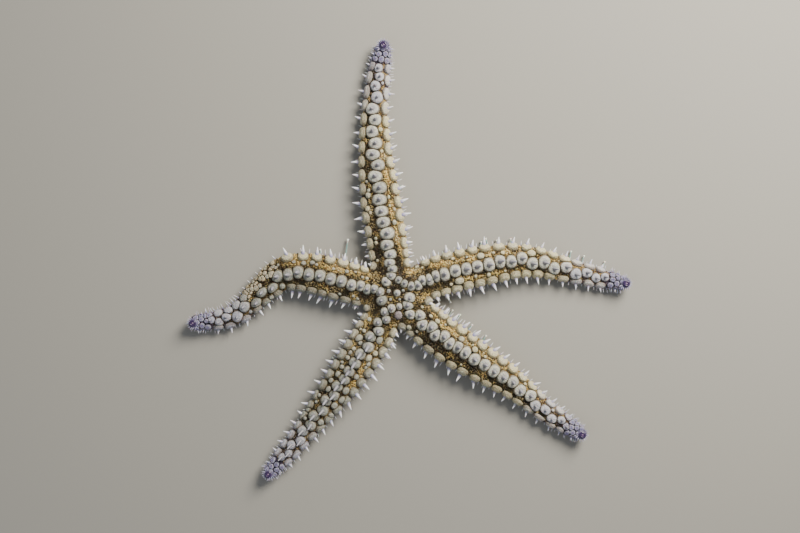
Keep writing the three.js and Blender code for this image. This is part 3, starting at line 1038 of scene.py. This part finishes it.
blunt_shapes = [spine_shape(0.0, 0.34), spine_shape(0.2, 0.3)]
crest_spine_plants = []
chance = random.Random(41)
for cushion in crest_row:
    arm, t, out, ahead = (cushion[key] for key in ("arm", "t", "out", "ahead"))
    tilt = arm["rake"] * step(t, 0.12, 0.3) + chance.uniform(-6, 6)
    rake = math.tan(math.radians(tilt))
    way = (out + ahead * rake + out.cross(ahead) * chance.uniform(-0.12, 0.12)).normalized()
    size = slimness(arm, t)
    long = MM * (2.2 + 0.9 * arm["rake"] / 50 + 0.5 * size) * chance.uniform(0.85, 1.1)
    long *= between(0.75, 1, step(t, 0.1, 0.3))
    place = aimed(cushion["top"] - way * SPINE_SUNK, way, CREST_SPINE_RADIUS * size ** 0.7,
                  long + SPINE_SUNK, chance.uniform(0, math.tau))
    crest_spine_plants.append((chance.randrange(2), place, chance.random(), stain_at(t), None))
for cushion in disc_ring:
    if cushion["wide"] > 1.5 * MM:
        place = aimed(cushion["top"] - cushion["out"] * SPINE_SUNK, cushion["out"],
                      DISC_SPINE_RADIUS, DISC_SPINE_LENGTH, chance.uniform(0, math.tau))
        crest_spine_plants.append((0, place, chance.random(), 0.0, None))

slate_spine, surface, place = new_finish(
    "slate_spine", Roughness=0.42, Specular_IOR_Level=0.45, Coat_Weight=0.15, Coat_Roughness=0.25)
upward = rise(own_value(place, "reach"), 0.3, 1.0)
colour = mixed(upward, (146, 145, 150), (166, 164, 176))
paler = times(own_value(place, "own"), 0.25)
colour = mixed(paler, colour, (158, 155, 168))
streaks = noise_in(place, 2400.0, 2.0)
colour = mixed(rise(streaks, 0.4, 0.7, 0.0, 0.25), colour, (124, 121, 134))
finish_with(surface, colour, 0.3, 0.08 * MM, streaks)
planted_piece("crest_spines", blunt_shapes, crest_spine_plants, slate_spine)


# ---- Flank spines ----
# The flank plates bear the animal's longest spines: stout cones that point out to the side and a
# little up, lilac at the foot and white at the tip. Below them, one or two thin white spines to
# each plate point straight out from the low row, and at the arm's end they make a dense fringe.

FOOT_SUNK = 1.5 * MM
FLANK_SPINE_LENGTH, FLANK_SPINE_RADIUS = 4.4 * MM, 1.62 * MM
LOW_SPINE_LENGTH = 3.7 * MM
FRINGE_RADIUS = 0.34 * MM


def laid_level(way):
    """The same way as seen from above, one unit long."""
    return Vector((way.x, way.y, 0)).normalized()


def free_length(root, way, long):
    """A spine's length, cut down where it would run into the next arm."""
    hit = smooth_skin.ray_cast(root + way * 1.2 * MM, way, long + 1.5 * MM)[0]
    return long if hit is None else max(0.9 * MM, 0.45 * (hit - root).length)


spine_shapes = [spine_shape(0.0, 0.12), spine_shape(0.2, 0.12), spine_shape(0.5, 0.2)]
flank_spine_plants = []
chance = random.Random(43)
for cushion in flank_rows:
    arm, t, side, out, ahead = (cushion[key] for key in ("arm", "t", "side", "out", "ahead"))
    if cushion["worn"]:
        continue
    lift = UP * chance.uniform(0.1, 0.35)
    way = (laid_level(out) + lift + ahead * chance.uniform(-0.02, 0.38)).normalized()
    size = slimness(arm, t)
    long = FLANK_SPINE_LENGTH * (0.4 + 0.6 * size) * between(0.5, 1, step(t, 0.1, 0.3))
    long *= chance.uniform(0.9, 1.12) * between(1, 0.75, step(t, 0.8, 0.92))
    radius = FLANK_SPINE_RADIUS * (0.35 + 0.65 * size)
    root = cushion["root"] - cushion["left"] * side * cushion["wide"] * 0.42
    root += out * cushion["high"] * 0.62
    long = free_length(root, way, long) + FOOT_SUNK
    place = aimed(root - way * FOOT_SUNK, way, radius, long, chance.uniform(0, math.tau))
    flank_spine_plants.append((chance.randrange(2), place, chance.random(), stain_at(t), None))


def low_spacing(_, t):
    by_disc = MM * between(2.1, 3.5, step(t, 0.25, 0.45))
    return by_disc * between(1, 0.42, step(t, 0.6, 0.92))


for arm, side, t, i, _ in row_of(0.13, 0.975, low_spacing, chance):
    on_worn = arm["worn"] * (side > 0) * step(t, 0.7, 0.75)
    fringe = max(step(t, 0.84, 0.92), on_worn)
    near_disc = 1 - step(t, 0.24, 0.4)
    angle = 96 + 9 * (i % 2) - 18 * fringe * (i % 2) - 12 * near_disc
    found = rooted(arm, t, side * angle + arm["roll"] * 0.4)
    if found is None or chance.random() < 0.12:
        continue
    root, ahead, _, out = found
    lift = UP * chance.uniform(-0.12, 0.22)
    way = (laid_level(out) + lift + ahead * chance.uniform(-0.1, 0.35)).normalized()
    size = slimness(arm, t)
    long = LOW_SPINE_LENGTH * (0.4 + 0.6 * size)
    long = free_length(root, way, long * chance.uniform(0.8, 1.2) * (1 + 0.45 * fringe))
    radius = MM * (0.25 + 0.17 * size + 0.08 * near_disc)
    place = aimed(root - out * 0.5 * MM, way, radius, long)
    kind = 1 + chance.randrange(2)
    flank_spine_plants.append((kind, place, chance.random(), stain_at(t), None))
for cushion in tip_pads:
    for _ in range(2 if abs(cushion["angle"]) > 50 else 0):
        lift = UP * chance.uniform(-0.1, 0.5)
        way = laid_level(cushion["out"]) + lift + cushion["ahead"] * chance.uniform(-0.2, 0.5)
        way.normalize()
        root = cushion["top"] - way * 0.6 * MM + cushion["ahead"] * chance.uniform(-0.9, 0.9) * MM
        place = aimed(root, way, FRINGE_RADIUS, MM * chance.uniform(1.9, 2.7))
        flank_spine_plants.append((chance.randrange(2), place, chance.random(), 0.6, None))

white_spine, surface, place = new_finish(
    "white_spine", Roughness=0.38, Specular_IOR_Level=0.5, Subsurface_Weight=0.1,
    Subsurface_Scale=0.5 * MM, Coat_Weight=0.2, Coat_Roughness=0.2)
reach = own_value(place, "reach")
colour = mixed(rise(reach, 0.15, 0.75), (134, 128, 174), (246, 246, 252))
foot_stain = times(rise(reach, 0.0, 0.25, 0.7, 0.0), own_value(place, "own"))
colour = mixed(foot_stain, colour, (178, 168, 140))
streaks = noise_in(place, 2600.0, 2.0)
colour = mixed(rise(streaks, 0.45, 0.75, 0.0, 0.2), colour, (170, 166, 196))
stain = times(own_value(place, "stain"), 0.8)
colour = stained(colour, stain, (140, 137, 172))
finish_with(surface, colour, 0.25, 0.06 * MM, streaks)
planted_piece("flank_spines", spine_shapes, flank_spine_plants, white_spine)


# ---- Papulae and pincers between the rows ----
# The bands between the rows are crowded with papulae, soft ochre and brown fingers of skin that
# the animal breathes through, and with pale pincers no bigger than a grain of sand. Each is
# rooted in the skin, and none stands on a cushion.

BEAD_STEP = 0.82 * MM
BEAD_ROOM = 0.56 * MM
BEAD_STRAY = -0.36, 0.36     # how far from its place in the net a bead stands, in steps
LOWEST_BEADS = 124           # degrees round the section from the crest
BEADS_ON_DISC = 7000         # how many places are tried there
BROWN_BELOW = 0.2


def bead_shape(stretch, lean):
    shape = ball(8, 5)
    for vert in shape.verts:
        vert.co.z = vert.co.z * stretch + 0.3
        vert.co.x += lean * max(0, vert.co.z) ** 2
    return shaped("bead", shape, lambda co: max(0.0, min(1.0, co.z / (stretch + 0.3))))


def map_root(arm_number, t, angle):
    """The root's place on the skin laid out flat, with a strip for each arm."""
    return ((arm_number + ((angle + 180) % 360) / 360) / 6, t)


bead_shapes = [bead_shape(1.0, 0.0), bead_shape(1.3, 0.12), bead_shape(1.6, 0.2)]
bead_roots = []
held = {}
chance = random.Random(53)


def has_room(point):
    """Keeps a point if no bead is nearer than the room it needs."""
    cell = tuple(int(c // BEAD_ROOM) for c in point)
    for x in (-1, 0, 1):
        for y in (-1, 0, 1):
            for z in (-1, 0, 1):
                other = held.get((cell[0] + x, cell[1] + y, cell[2] + z))
                if other and (other - point).length < BEAD_ROOM:
                    return False
    held[cell] = point
    return True


def try_bead(found, t, angle, spot):
    """Roots a bead between the cushions. It is brown close to them, partly as their dark joint and
    partly as painted shade, and gold in the open bands, golder where painted light falls.
    """
    if found is None or found[3].z < -0.75:
        return
    root, ahead, left, out = found
    room = clearance(root, cushion_tree)
    if room > 0.05 * MM and has_room(root):
        gold = step(room, 0.1 * MM, 0.9 * MM) * (1 - step(t, 0.72, 0.92))
        facing = side_way(left, angle) if t > 0.05 else (0, 0)
        lamp_lit = painted_light(*root.xy, *facing)
        by_disc = disc_nearness(t)
        open_from = 20 + 15 * by_disc - 14 * opening(by_disc, lamp_lit)
        gold *= between(0.04, 1, step(abs(angle), open_from, open_from + 20))
        gold *= between(0.25, 1, lamp_lit) * between(0.5, 1, painted_lamp_falloff(root))
        gold *= 1 - 0.6 * (1 - step(t, 0.1, 0.2)) * step(abs(angle), 50, 75)
        bead_roots.append((root, ahead, out, t, gold, spot))


ring = np.linspace(-LOWEST_BEADS, LOWEST_BEADS, 63)
for number, arm in enumerate(ARMS):
    for row_at in np.arange(0.06, 0.965, BEAD_STEP / arm["length"]):
        steps_round = np.linalg.norm(np.diff(arm_point(arm, row_at, ring), axis=0), axis=1)
        run = np.concatenate([[0], np.cumsum(steps_round)])
        for round_it in np.arange(0, run[-1], BEAD_STEP):
            t = float(row_at) + chance.uniform(*BEAD_STRAY) * BEAD_STEP / arm["length"]
            angle = float(np.interp(round_it + chance.uniform(*BEAD_STRAY) * BEAD_STEP, run, ring))
            try_bead(rooted(arm, t, angle), t, angle, map_root(number, t, angle))
for _ in range(BEADS_ON_DISC):
    heading = chance.uniform(0, 360)
    out_by = 1.4 * DISC_RADIUS * math.sqrt(chance.random())
    spot = ((5 + heading / 360) / 6, out_by / DISC_RADIUS / 1.5)
    as_angle = between(16, 44, out_by / DISC_RADIUS - 0.4)
    try_bead(rooted_from_above(heading, out_by), 0.05, as_angle, spot)

brown_plants, golden_plants, pincer_plants = [], [], []
for root, ahead, out, t, gold, spot in bead_roots:
    # A bead's gold carries painted light and shade: lit beads are golder, with more pale pincers among
    # them, and shaded ones browner.
    pale = noise.noise(root * 150) + chance.uniform(-0.35, 0.35) > between(0.42, 0.16, gold)
    size = MM * (chance.uniform(0.36, 0.5) if pale else chance.uniform(0.44, 0.62))
    shade = 0.1 + 0.85 * gold + 0.75 * noise.noise(root * 150 + Vector((9, 4, 1)))
    shade += chance.choice((0.08, 0.08, 0.0, -0.08, -0.45))
    shade = max(0.0, min(1.0, shade))
    size *= between(0.85, 1, gold) * (1 - 0.3 * stain_at(t))
    way = out + ahead * chance.uniform(-0.4, 0.4) + out.cross(ahead) * chance.uniform(-0.4, 0.4)
    place = aimed(root - out * COAT_DEPTH, way.normalized(), size,
                  size * chance.uniform(0.8, 1.1), chance.uniform(0, math.tau))
    plants = pincer_plants if pale else golden_plants if shade > BROWN_BELOW else brown_plants
    plants.append((chance.randrange(3), place, shade, stain_at(t), spot))

papula_finish, surface, place = new_finish(
    "amber_papula", Roughness=0.38, Specular_IOR_Level=0.38, Subsurface_Weight=0.2,
    Subsurface_Scale=0.6 * MM, Coat_Weight=0.14, Coat_Roughness=0.2)
# A papula's own number is its shade, with painted light and painted shade in it.
own = own_value(place, "own")
patches = times(noise_in(place, 200.0), 0.4)
shade = combined("ADD", times(own, 0.8), patches)
colour = mixed(rise(shade, 0.15, 1.0), (42, 32, 14), (208, 180, 110))
top = times(rise(own_value(place, "reach"), 0.4, 1.0, 0.0, 0.35), own)
colour = mixed(top, colour, (206, 184, 130))
finish_with(surface, stained(colour, own_value(place, "stain"), (74, 62, 96)))

pincer_finish, surface, place = new_finish(
    "pale_pincer", Roughness=0.5, Specular_IOR_Level=0.4, Coat_Weight=0.1, Coat_Roughness=0.3)
colour = mixed(own_value(place, "own"), (136, 118, 78), (206, 192, 152))
foot = rise(own_value(place, "reach"), 0.0, 0.5, 0.7, 0.0)
colour = mixed(foot, colour, (110, 80, 40))
finish_with(surface, stained(colour, own_value(place, "stain"), (120, 110, 142)))

planted_piece("brown_papulae", bead_shapes, brown_plants, papula_finish)
planted_piece("golden_papulae", bead_shapes, golden_plants, papula_finish)
planted_piece("pincers", bead_shapes, pincer_plants, pincer_finish)


# ---- Eyespot plates ----
# An arm ends in one blunt plate that curls up. On it a dark purple ring of skin stands round the
# pink tip of the last tube foot, which sees light, and tiny spines guard it.

GUARDS = 34
RING_SIZE = 1.32 * MM, 1.22 * MM, 1.0 * MM
LAST_FOOT_SIZE = 0.66 * MM, 0.6 * MM, 0.5 * MM


def knob_shape():
    shape = ball(16, 10)
    for vert in shape.verts:
        vert.co *= 1 + 0.08 * noise.noise(vert.co * 2.2)
    return shaped("knob", shape, lambda co: (co.z + 1) / 2)


def ring_shape():
    """A ring of skin one unit in radius, with a low cup inside it."""
    shape = bmesh.new()
    bmesh.ops.create_circle(shape, cap_ends=False, segments=8, radius=0.5,
                            matrix=Matrix.Translation((1, 0, 0)) @ Matrix.Rotation(math.pi / 2, 4, "X"))
    bmesh.ops.spin(shape, geom=shape.verts[:] + shape.edges[:], cent=(0, 0, 0), axis=(0, 0, 1),
                   angle=math.tau, steps=18, use_merge=True)
    bmesh.ops.remove_doubles(shape, verts=shape.verts, dist=1e-5)
    bmesh.ops.recalc_face_normals(shape, faces=shape.faces)
    for vert in shape.verts:
        vert.co.z += 0.1 * noise.noise(vert.co * 3)
    set_reach(shape, lambda co: 1.0)
    uv = shape.loops.layers.uv.new("OFBake")
    for face in shape.faces:
        for loop in face.loops:
            loop[uv].uv = MAP_MIDDLE + loop.vert.co.xy * 0.3
    return to_mesh("ring", shape)


ring_plants, plate_plants, tip_plants, guard_plants = [], [], [], []
chance = random.Random(61)
for arm in ARMS:
    ahead = side_of(arm, 0.98, 0)[1]
    middle = Vector(arm_point(arm, 0.982, 0, 0.0))
    size = half_width(arm, 0.965)
    level = laid_level(ahead)
    across = Vector((-level.y, level.x, 0))
    place = standing(middle, level, across, UP, size * 0.92, size * 0.92, size * 0.86)
    plate_plants.append((0, place, chance.random(), 1.0, None))
    top = middle + level * 0.6 * MM + UP * size * 0.8
    place = standing(top, level, across, UP, *RING_SIZE)
    ring_plants.append((0, place, chance.random(), 1.0, None))
    place = standing(top, level, across, UP, *LAST_FOOT_SIZE)
    tip_plants.append((0, place, 0.5, 0.0, None))
    for i in range(GUARDS):
        heading = math.tau * (i + chance.uniform(-0.25, 0.25)) / GUARDS
        if math.cos(heading) < -0.75:
            continue
        rim = level * math.cos(heading) + across * math.sin(heading)
        height, out_by = ((0.15, 0.86), (0.55, 0.72))[i % 2]
        root = middle + rim * size * out_by + UP * size * height
        way = (rim + UP * (0.1 + height)).normalized()
        place = aimed(root - way * 0.3 * MM, way, FRINGE_RADIUS, MM * chance.uniform(1.7, 2.4))
        guard_plants.append((1, place, chance.random(), 1.0, None))

violet_plate, surface, place = new_finish(
    "violet_plate", Roughness=0.45, Specular_IOR_Level=0.45, Coat_Weight=0.15, Coat_Roughness=0.3)
clouds = noise_in(place, 900.0)
colour = mixed(clouds, (74, 68, 96), (120, 116, 142))
colour, height = grainy(place, 1800.0, colour, 0.6, (52, 42, 84))
finish_with(surface, colour, 0.5, 0.2 * MM, height)

purple_ring, surface, place = new_finish(
    "purple_ring", Roughness=0.35, Specular_IOR_Level=0.5, Coat_Weight=0.3, Coat_Roughness=0.2)
clouds = noise_in(place, 1300.0)
colour = mixed(clouds, (36, 21, 52), (66, 46, 96))
finish_with(surface, colour, 0.4, 0.12 * MM, clouds)

pink_tip, surface, place = new_finish(
    "pink_tip", Roughness=0.3, Specular_IOR_Level=0.5, Coat_Weight=0.3, Coat_Roughness=0.15)
clouds = noise_in(place, 1500.0, 2.0)
finish_with(surface, mixed(clouds, (92, 66, 110), (138, 112, 146)))

eyespot_plates = planted_piece("eyespot_plates", [knob_shape()], plate_plants, violet_plate)
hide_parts(*[f"eyespot_{arm['name']}" for arm in ARMS])
planted_piece("eyespot_rings", [ring_shape()], ring_plants, purple_ring)
planted_piece("last_feet", [knob_shape()], tip_plants, pink_tip)
planted_piece("guard_spines", spine_shapes, guard_plants, white_spine)


# ---- Sieve plate ----
# Near the edge of the disc, between the two southern arms, lies the sieve plate that lets sea
# water into the feet: a low round button of chalk, pinkish lilac, cut by fine wandering grooves.

SIEVE_RADIUS = 2.4 * MM
SIEVE_HEADING = -84
SIEVE_OUT = 12.2 * MM


def sieve_shape():
    shape = ball(72, 36)
    reach = shape.verts.layers.float.new("reach")
    for vert in shape.verts:
        flat = vert.co.xy.length
        turn = math.atan2(vert.co.y, vert.co.x)
        wave = math.cos(turn * 13 + 3.0 * noise.noise(vert.co * 2.4)) * step(flat, 0.1, 0.35)
        vert[reach] = 0.5 + 0.5 * wave
        vert.co.z = 0.42 * (1 - flat ** 4) + 0.07 * wave if vert.co.z > 0 else -0.3
    umbrella(shape)
    return to_mesh("sieve", shape)


lilac_chalk, surface, place = new_finish(
    "lilac_chalk", Roughness=0.7, Specular_IOR_Level=0.3)
clouds = noise_in(place, 1100.0)
colour = mixed(clouds, (146, 134, 138), (182, 174, 172))
in_groove = rise(own_value(place, "reach"), 0.1, 0.6, 0.8, 0.0)
colour = mixed(in_groove, colour, (92, 74, 80))
fine = noise_in(place, 4200.0, 2.0)
colour = mixed(rise(fine, 0.5, 0.7, 0.0, 0.4), colour, (96, 80, 84))
finish_with(surface, colour, 0.4, 0.08 * MM, fine)

root, ahead, left, out = rooted_from_above(SIEVE_HEADING, SIEVE_OUT)
place = standing(root + out * 0.1 * MM, ahead, left, out, SIEVE_RADIUS, SIEVE_RADIUS * 0.9,
                 SIEVE_RADIUS)
sieve_plate = planted_piece("sieve_plate", [sieve_shape()], [(0, place, 0.5, 0.0, None)],
                            lilac_chalk)
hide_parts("madreporite")


# ---- Mouth ----
# Under the disc a soft pale membrane closes the mouth but for a small round hole, in folds that
# run to it. Spines on the five corners of the jaw point in over it.

MEMBRANE_RISE = 1.6 * MM


def membrane_shape():
    shape = ball(60, 24)
    for vert in shape.verts:
        flat = vert.co.xy.length
        turn = math.atan2(vert.co.y, vert.co.x)
        fold = 0.07 * math.cos(turn * 15 + 1.5 * noise.noise(vert.co * 2)) * step(flat, 0.1, 0.5)
        hole = 0.75 * (1 - step(flat, 0.0, 0.22))
        if vert.co.z < 0:
            vert.co.z += fold + hole
    return shaped("membrane", shape, lambda co: min(1.0, co.xy.length))


soft_membrane, surface, place = new_finish(
    "soft_membrane", Roughness=0.4, Specular_IOR_Level=0.5, Subsurface_Weight=0.15,
    Subsurface_Scale=1.0 * MM, Coat_Weight=0.25, Coat_Roughness=0.2)
clouds = noise_in(place, 600.0)
colour = mixed(clouds, (196, 150, 120), (226, 200, 172))
by_hole = rise(own_value(place, "reach"), 0.1, 0.3, 0.8, 0.0)
colour = mixed(by_hole, colour, (120, 70, 60))
finish_with(surface, colour, 0.3, 0.15 * MM, clouds)

membrane_at = Vector((*DISC_AT, BODY_CLEARANCE + MOUTH_RECESS + 0.2 * MM))
spread = MOUTH_RADIUS * 1.1
place = Matrix.LocRotScale(membrane_at, None, (spread, spread, MEMBRANE_RISE))
mouth = planted_piece("mouth_membrane", [membrane_shape()], [(0, place, 0.5, 0.0, None)],
                      soft_membrane)
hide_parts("mouth")


# ---- Spines of the underside ----
# A palisade of slim, blunt spines lines both edges of every groove and closes over the feet when
# the animal is disturbed. At the jaw they are longer and point in over the mouth.

UNDER_ROWS = (146, 0.3, 1.75 * MM), (132, 0.18, 2.6 * MM)      # angle, how far down, and spacing
JAW_SPINES, JAW_SPINE_TURN = 6, 9        # at each corner, and degrees from one to the next
UNDER_SPINE_RADIUS, JAW_SPINE_RADIUS = 0.3 * MM, 0.36 * MM


def rooted_below(arm, t, angle):
    """A root under an arm, with the ways ahead and out."""
    at, ahead, _, out = side_of(arm, t, angle)
    hit = smooth_skin.ray_cast(at + out * 3 * MM, -out, 8 * MM)[0]
    return (hit or at), ahead, out


under_plants = []
chance = random.Random(71)
for arm in ARMS:
    for side in (-1, 1):
        for angle, lowness, spacing in UNDER_ROWS:
            for t in stops_along(arm, 0.16, 0.95, lambda _, t: spacing * between(1, 0.7, t), chance):
                root, ahead, out = rooted_below(arm, t, side * angle)
                long = MM * chance.uniform(2.2, 2.9) * (0.45 + 0.55 * slimness(arm, t))
                drop = UP * min(lowness, 0.75 * (root.z - 0.2 * MM) / long)
                way = laid_level(out) - drop + ahead * chance.uniform(-0.25, 0.25)
                place = aimed(root - out * 0.4 * MM, way.normalized(), UNDER_SPINE_RADIUS, long)
                under_plants.append((1, place, chance.random(), stain_at(t), None))
for corner in range(5):
    middle = 90 + 36 + 72 * corner
    for i in range(JAW_SPINES):
        heading = math.radians(middle + (i - (JAW_SPINES - 1) / 2) * JAW_SPINE_TURN)
        rim = Vector((math.cos(heading), math.sin(heading), 0))
        root = Vector((*DISC_AT, BODY_CLEARANCE + 0.5 * MM)) + rim * (MOUTH_RADIUS + 1.4 * MM)
        way = (-rim - UP * 0.12).normalized()
        place = aimed(root, way, JAW_SPINE_RADIUS, MM * chance.uniform(2.6, 3.6))
        under_plants.append((1, place, chance.random(), 0.0, None))
planted_piece("under_spines", spine_shapes, under_plants, white_spine)


# ---- Tube feet ----
# Four rows of soft hollow feet fill each groove and stand on the floor on their suckers. A few
# near the edge of an arm reach out past its spines and feel about, with their suckers showing.

FOOT_ROWS = -0.26, -0.09, 0.09, 0.26     # how far to the right of the midline, in half widths
FOOT_RADIUS, FEELER_RADIUS = 0.72 * MM, 0.46 * MM
FEELER_UNDER_ARM = 5.5                   # mm of a feeler before the arm's edge


def foot_shape(bend):
    """A foot one unit long, from its sucker on the floor up to its root."""
    shape = rod(8, 4)
    for vert in shape.verts:
        up = vert.co.z
        girth = 1 - 0.42 * step(up, 0.05, 0.3) + 0.2 * step(up, 0.6, 1)
        vert.co.x = vert.co.x * girth + bend * math.sin(math.pi * up)
        vert.co.y *= girth
    return shaped("foot", shape, lambda co: co.z)


foot_shapes = [foot_shape(0.0), foot_shape(0.4), foot_shape(-0.4)]
feet_plants, feeler_plants = [], []
chance = random.Random(83)
for arm in ARMS:
    for row, offset in enumerate(FOOT_ROWS):
        first = 0.09 + 0.008 * (row % 2)
        for t in stops_along(arm, first, 0.945, lambda _, t: MM * between(2.7, 1.9, t), chance):
            slim = half_width(arm, t)
            at, after, before = (arm_point(arm, t + aside, 180, 0.0) for aside in (0, NEAR_T, -NEAR_T))
            ahead = Vector(after - before).normalized()
            right = Vector((ahead.y, -ahead.x, 0)).normalized()
            top = Vector(at) + right * slim * offset
            hit = smooth_skin.ray_cast(Vector((top.x, top.y, 0.05 * MM)), UP, PEN_REACH)[0]
            if hit is None:
                continue
            root = hit + UP * (COAT_DEPTH + 0.5 * MM)
            foot = Vector((root.x, root.y, 0)) + right * slim * offset * 0.35
            foot += ahead * chance.uniform(-0.5, 0.5) * MM
            radius = FOOT_RADIUS * (0.5 + 0.5 * slim / BODY_HALF_WIDTH)
            shear = Matrix.Identity(4)
            shear[0][2], shear[1][2], shear[2][2] = (root - foot)
            spun = (Matrix.Rotation(chance.uniform(0, math.tau), 4, "Z")
                    @ Matrix.Diagonal((radius, radius, 1, 1)))
            place = Matrix.Translation(foot) @ shear @ spun
            feet_plants.append((chance.randrange(3), place, chance.random(), stain_at(t), None))

# Which arm the feelers are under and its side, and for each one how far along it is and how far
# it reaches past the edge.
FEELERS = [
    ("east", -1, (0.25, 2.5), (0.35, 3.4), (0.385, 2.4), (0.42, 4.0), (0.455, 2.2), (0.51, 2.6),
     (0.74, 3.0), (0.79, 2.4), (0.88, 2.2)),
    ("east", 1, (0.2, 5.0)),
    ("southeast", -1, (0.24, 3.0), (0.28, 3.6), (0.34, 3.0), (0.42, 2.6)),
    ("west", 1, (0.255, 11.0)), ("north", -1, (0.3, 1.6)), ("southwest", 1, (0.4, 1.6)),
    ("north", 1, (0.42, 2.2)), ("west", 1, (0.36, 2.0)),
]


def feeler_shape(bend):
    """A stretched foot, from its root at the arm to the sucker at its free end."""
    shape = rod(10, 11)
    for vert in shape.verts:
        up = vert.co.z
        girth = between(1.1, 0.72, up) + 0.75 * step(up, 0.9, 0.99)
        vert.co.x = vert.co.x * girth + bend * up * up
        vert.co.y *= girth
    return shaped("feeler", shape, lambda co: 1 - co.z)


feeler_shapes = [feeler_shape(-1.2), feeler_shape(-2.4)]
for name, side, *feelers in FEELERS:
    arm = next(arm for arm in ARMS if arm["name"] == name)
    for t, past in feelers:
        _, ahead, _, out = side_of(arm, t, side * 126)
        level = laid_level(out)
        start = Vector(arm_point(arm, t, side * 140)) - level * 1.5 * MM
        start.z = BODY_CLEARANCE + 0.6 * MM
        way = level + ahead * chance.uniform(-0.15, 0.15) + UP * chance.uniform(0.02, 0.12)
        way.normalize()
        across = UP.cross(way).normalized()
        turn = Matrix((way.cross(across), -across, way)).transposed().to_4x4()
        size = Matrix.Diagonal((FEELER_RADIUS, FEELER_RADIUS, MM * (past + FEELER_UNDER_ARM), 1))
        place = Matrix.Translation(start) @ turn @ size
        feeler_plants.append((chance.randrange(2), place, chance.random(), 0.0, None))

foot_finish, surface, place = new_finish(
    "tube_foot", Roughness=0.3, Specular_IOR_Level=0.5, Subsurface_Weight=0.3,
    Subsurface_Scale=0.8 * MM, Coat_Weight=0.3, Coat_Roughness=0.15)
above_sucker = rise(own_value(place, "reach"), 0.06, 0.2)
colour = mixed(above_sucker, (230, 234, 226), (136, 168, 164))
warmer = rise(own_value(place, "own"), 0.4, 1.0, 0.0, 0.6)
colour = mixed(warmer, colour, (214, 204, 178))
rings = node(place, "TexWave", Vector=place, Scale=2600.0, Distortion=1.5, bands_direction="Z")
finish_with(surface, colour, 0.3, 0.08 * MM, rings.outputs[1])
planted_piece("tube_feet", foot_shapes, feet_plants, foot_finish)
planted_piece("feelers", feeler_shapes, feeler_plants, foot_finish)


# ---- Floor, light and camera ----
# The model lies on a plain pale floor under one large soft lamp, high on its northeast side,
# with a dim broad one across from it. The camera looks straight down.

FLOOR_SIDE = 24.0
CAMERA_AT = -5.3 * MM, -3.6 * MM, 621 * MM
floor_shape = bmesh.new()
bmesh.ops.create_grid(floor_shape, x_segments=1, y_segments=1, size=FLOOR_SIDE / 2)
floor_mesh = to_mesh("floor", floor_shape)
floor = bpy.data.objects.new("floor", floor_mesh)
bpy.context.collection.objects.link(floor)
pale_floor, surface, _ = new_finish("pale_floor", Roughness=0.85, Specular_IOR_Level=0.2)
finish_with(surface, (158, 156, 150))
floor_mesh.materials.append(pale_floor)


def lamp(name, at, side, power, tint):
    light = bpy.data.lights.new(name, "AREA")
    light.shape = "DISK"
    light.size = side
    light.energy = power
    light.color = tint
    holder = bpy.data.objects.new(name, light)
    bpy.context.collection.objects.link(holder)
    holder.location = at
    holder.rotation_euler = (-Vector(at)).to_track_quat("-Z", "Y").to_euler()


lamp("key", (0.36, 0.42, 0.44), 0.42, 12.4, (1.0, 0.94, 0.82))
lamp("fill", (-0.5, -0.4, 0.6), 0.7, 0.9, (0.86, 0.92, 1.0))

studio = bpy.data.worlds.new("studio")
studio.use_nodes = True
studio.node_tree.nodes["Background"].inputs[0].default_value = (0.9, 0.94, 1.0, 1)
studio.node_tree.nodes["Background"].inputs[1].default_value = 0.28
bpy.context.scene.world = studio

eye = bpy.data.cameras.new("overhead")
eye.lens = 50
eye.sensor_width = 36
eye.clip_end = 20
camera = bpy.data.objects.new("overhead", eye)
bpy.context.collection.objects.link(camera)
camera.location = CAMERA_AT
bpy.context.scene.camera = camera
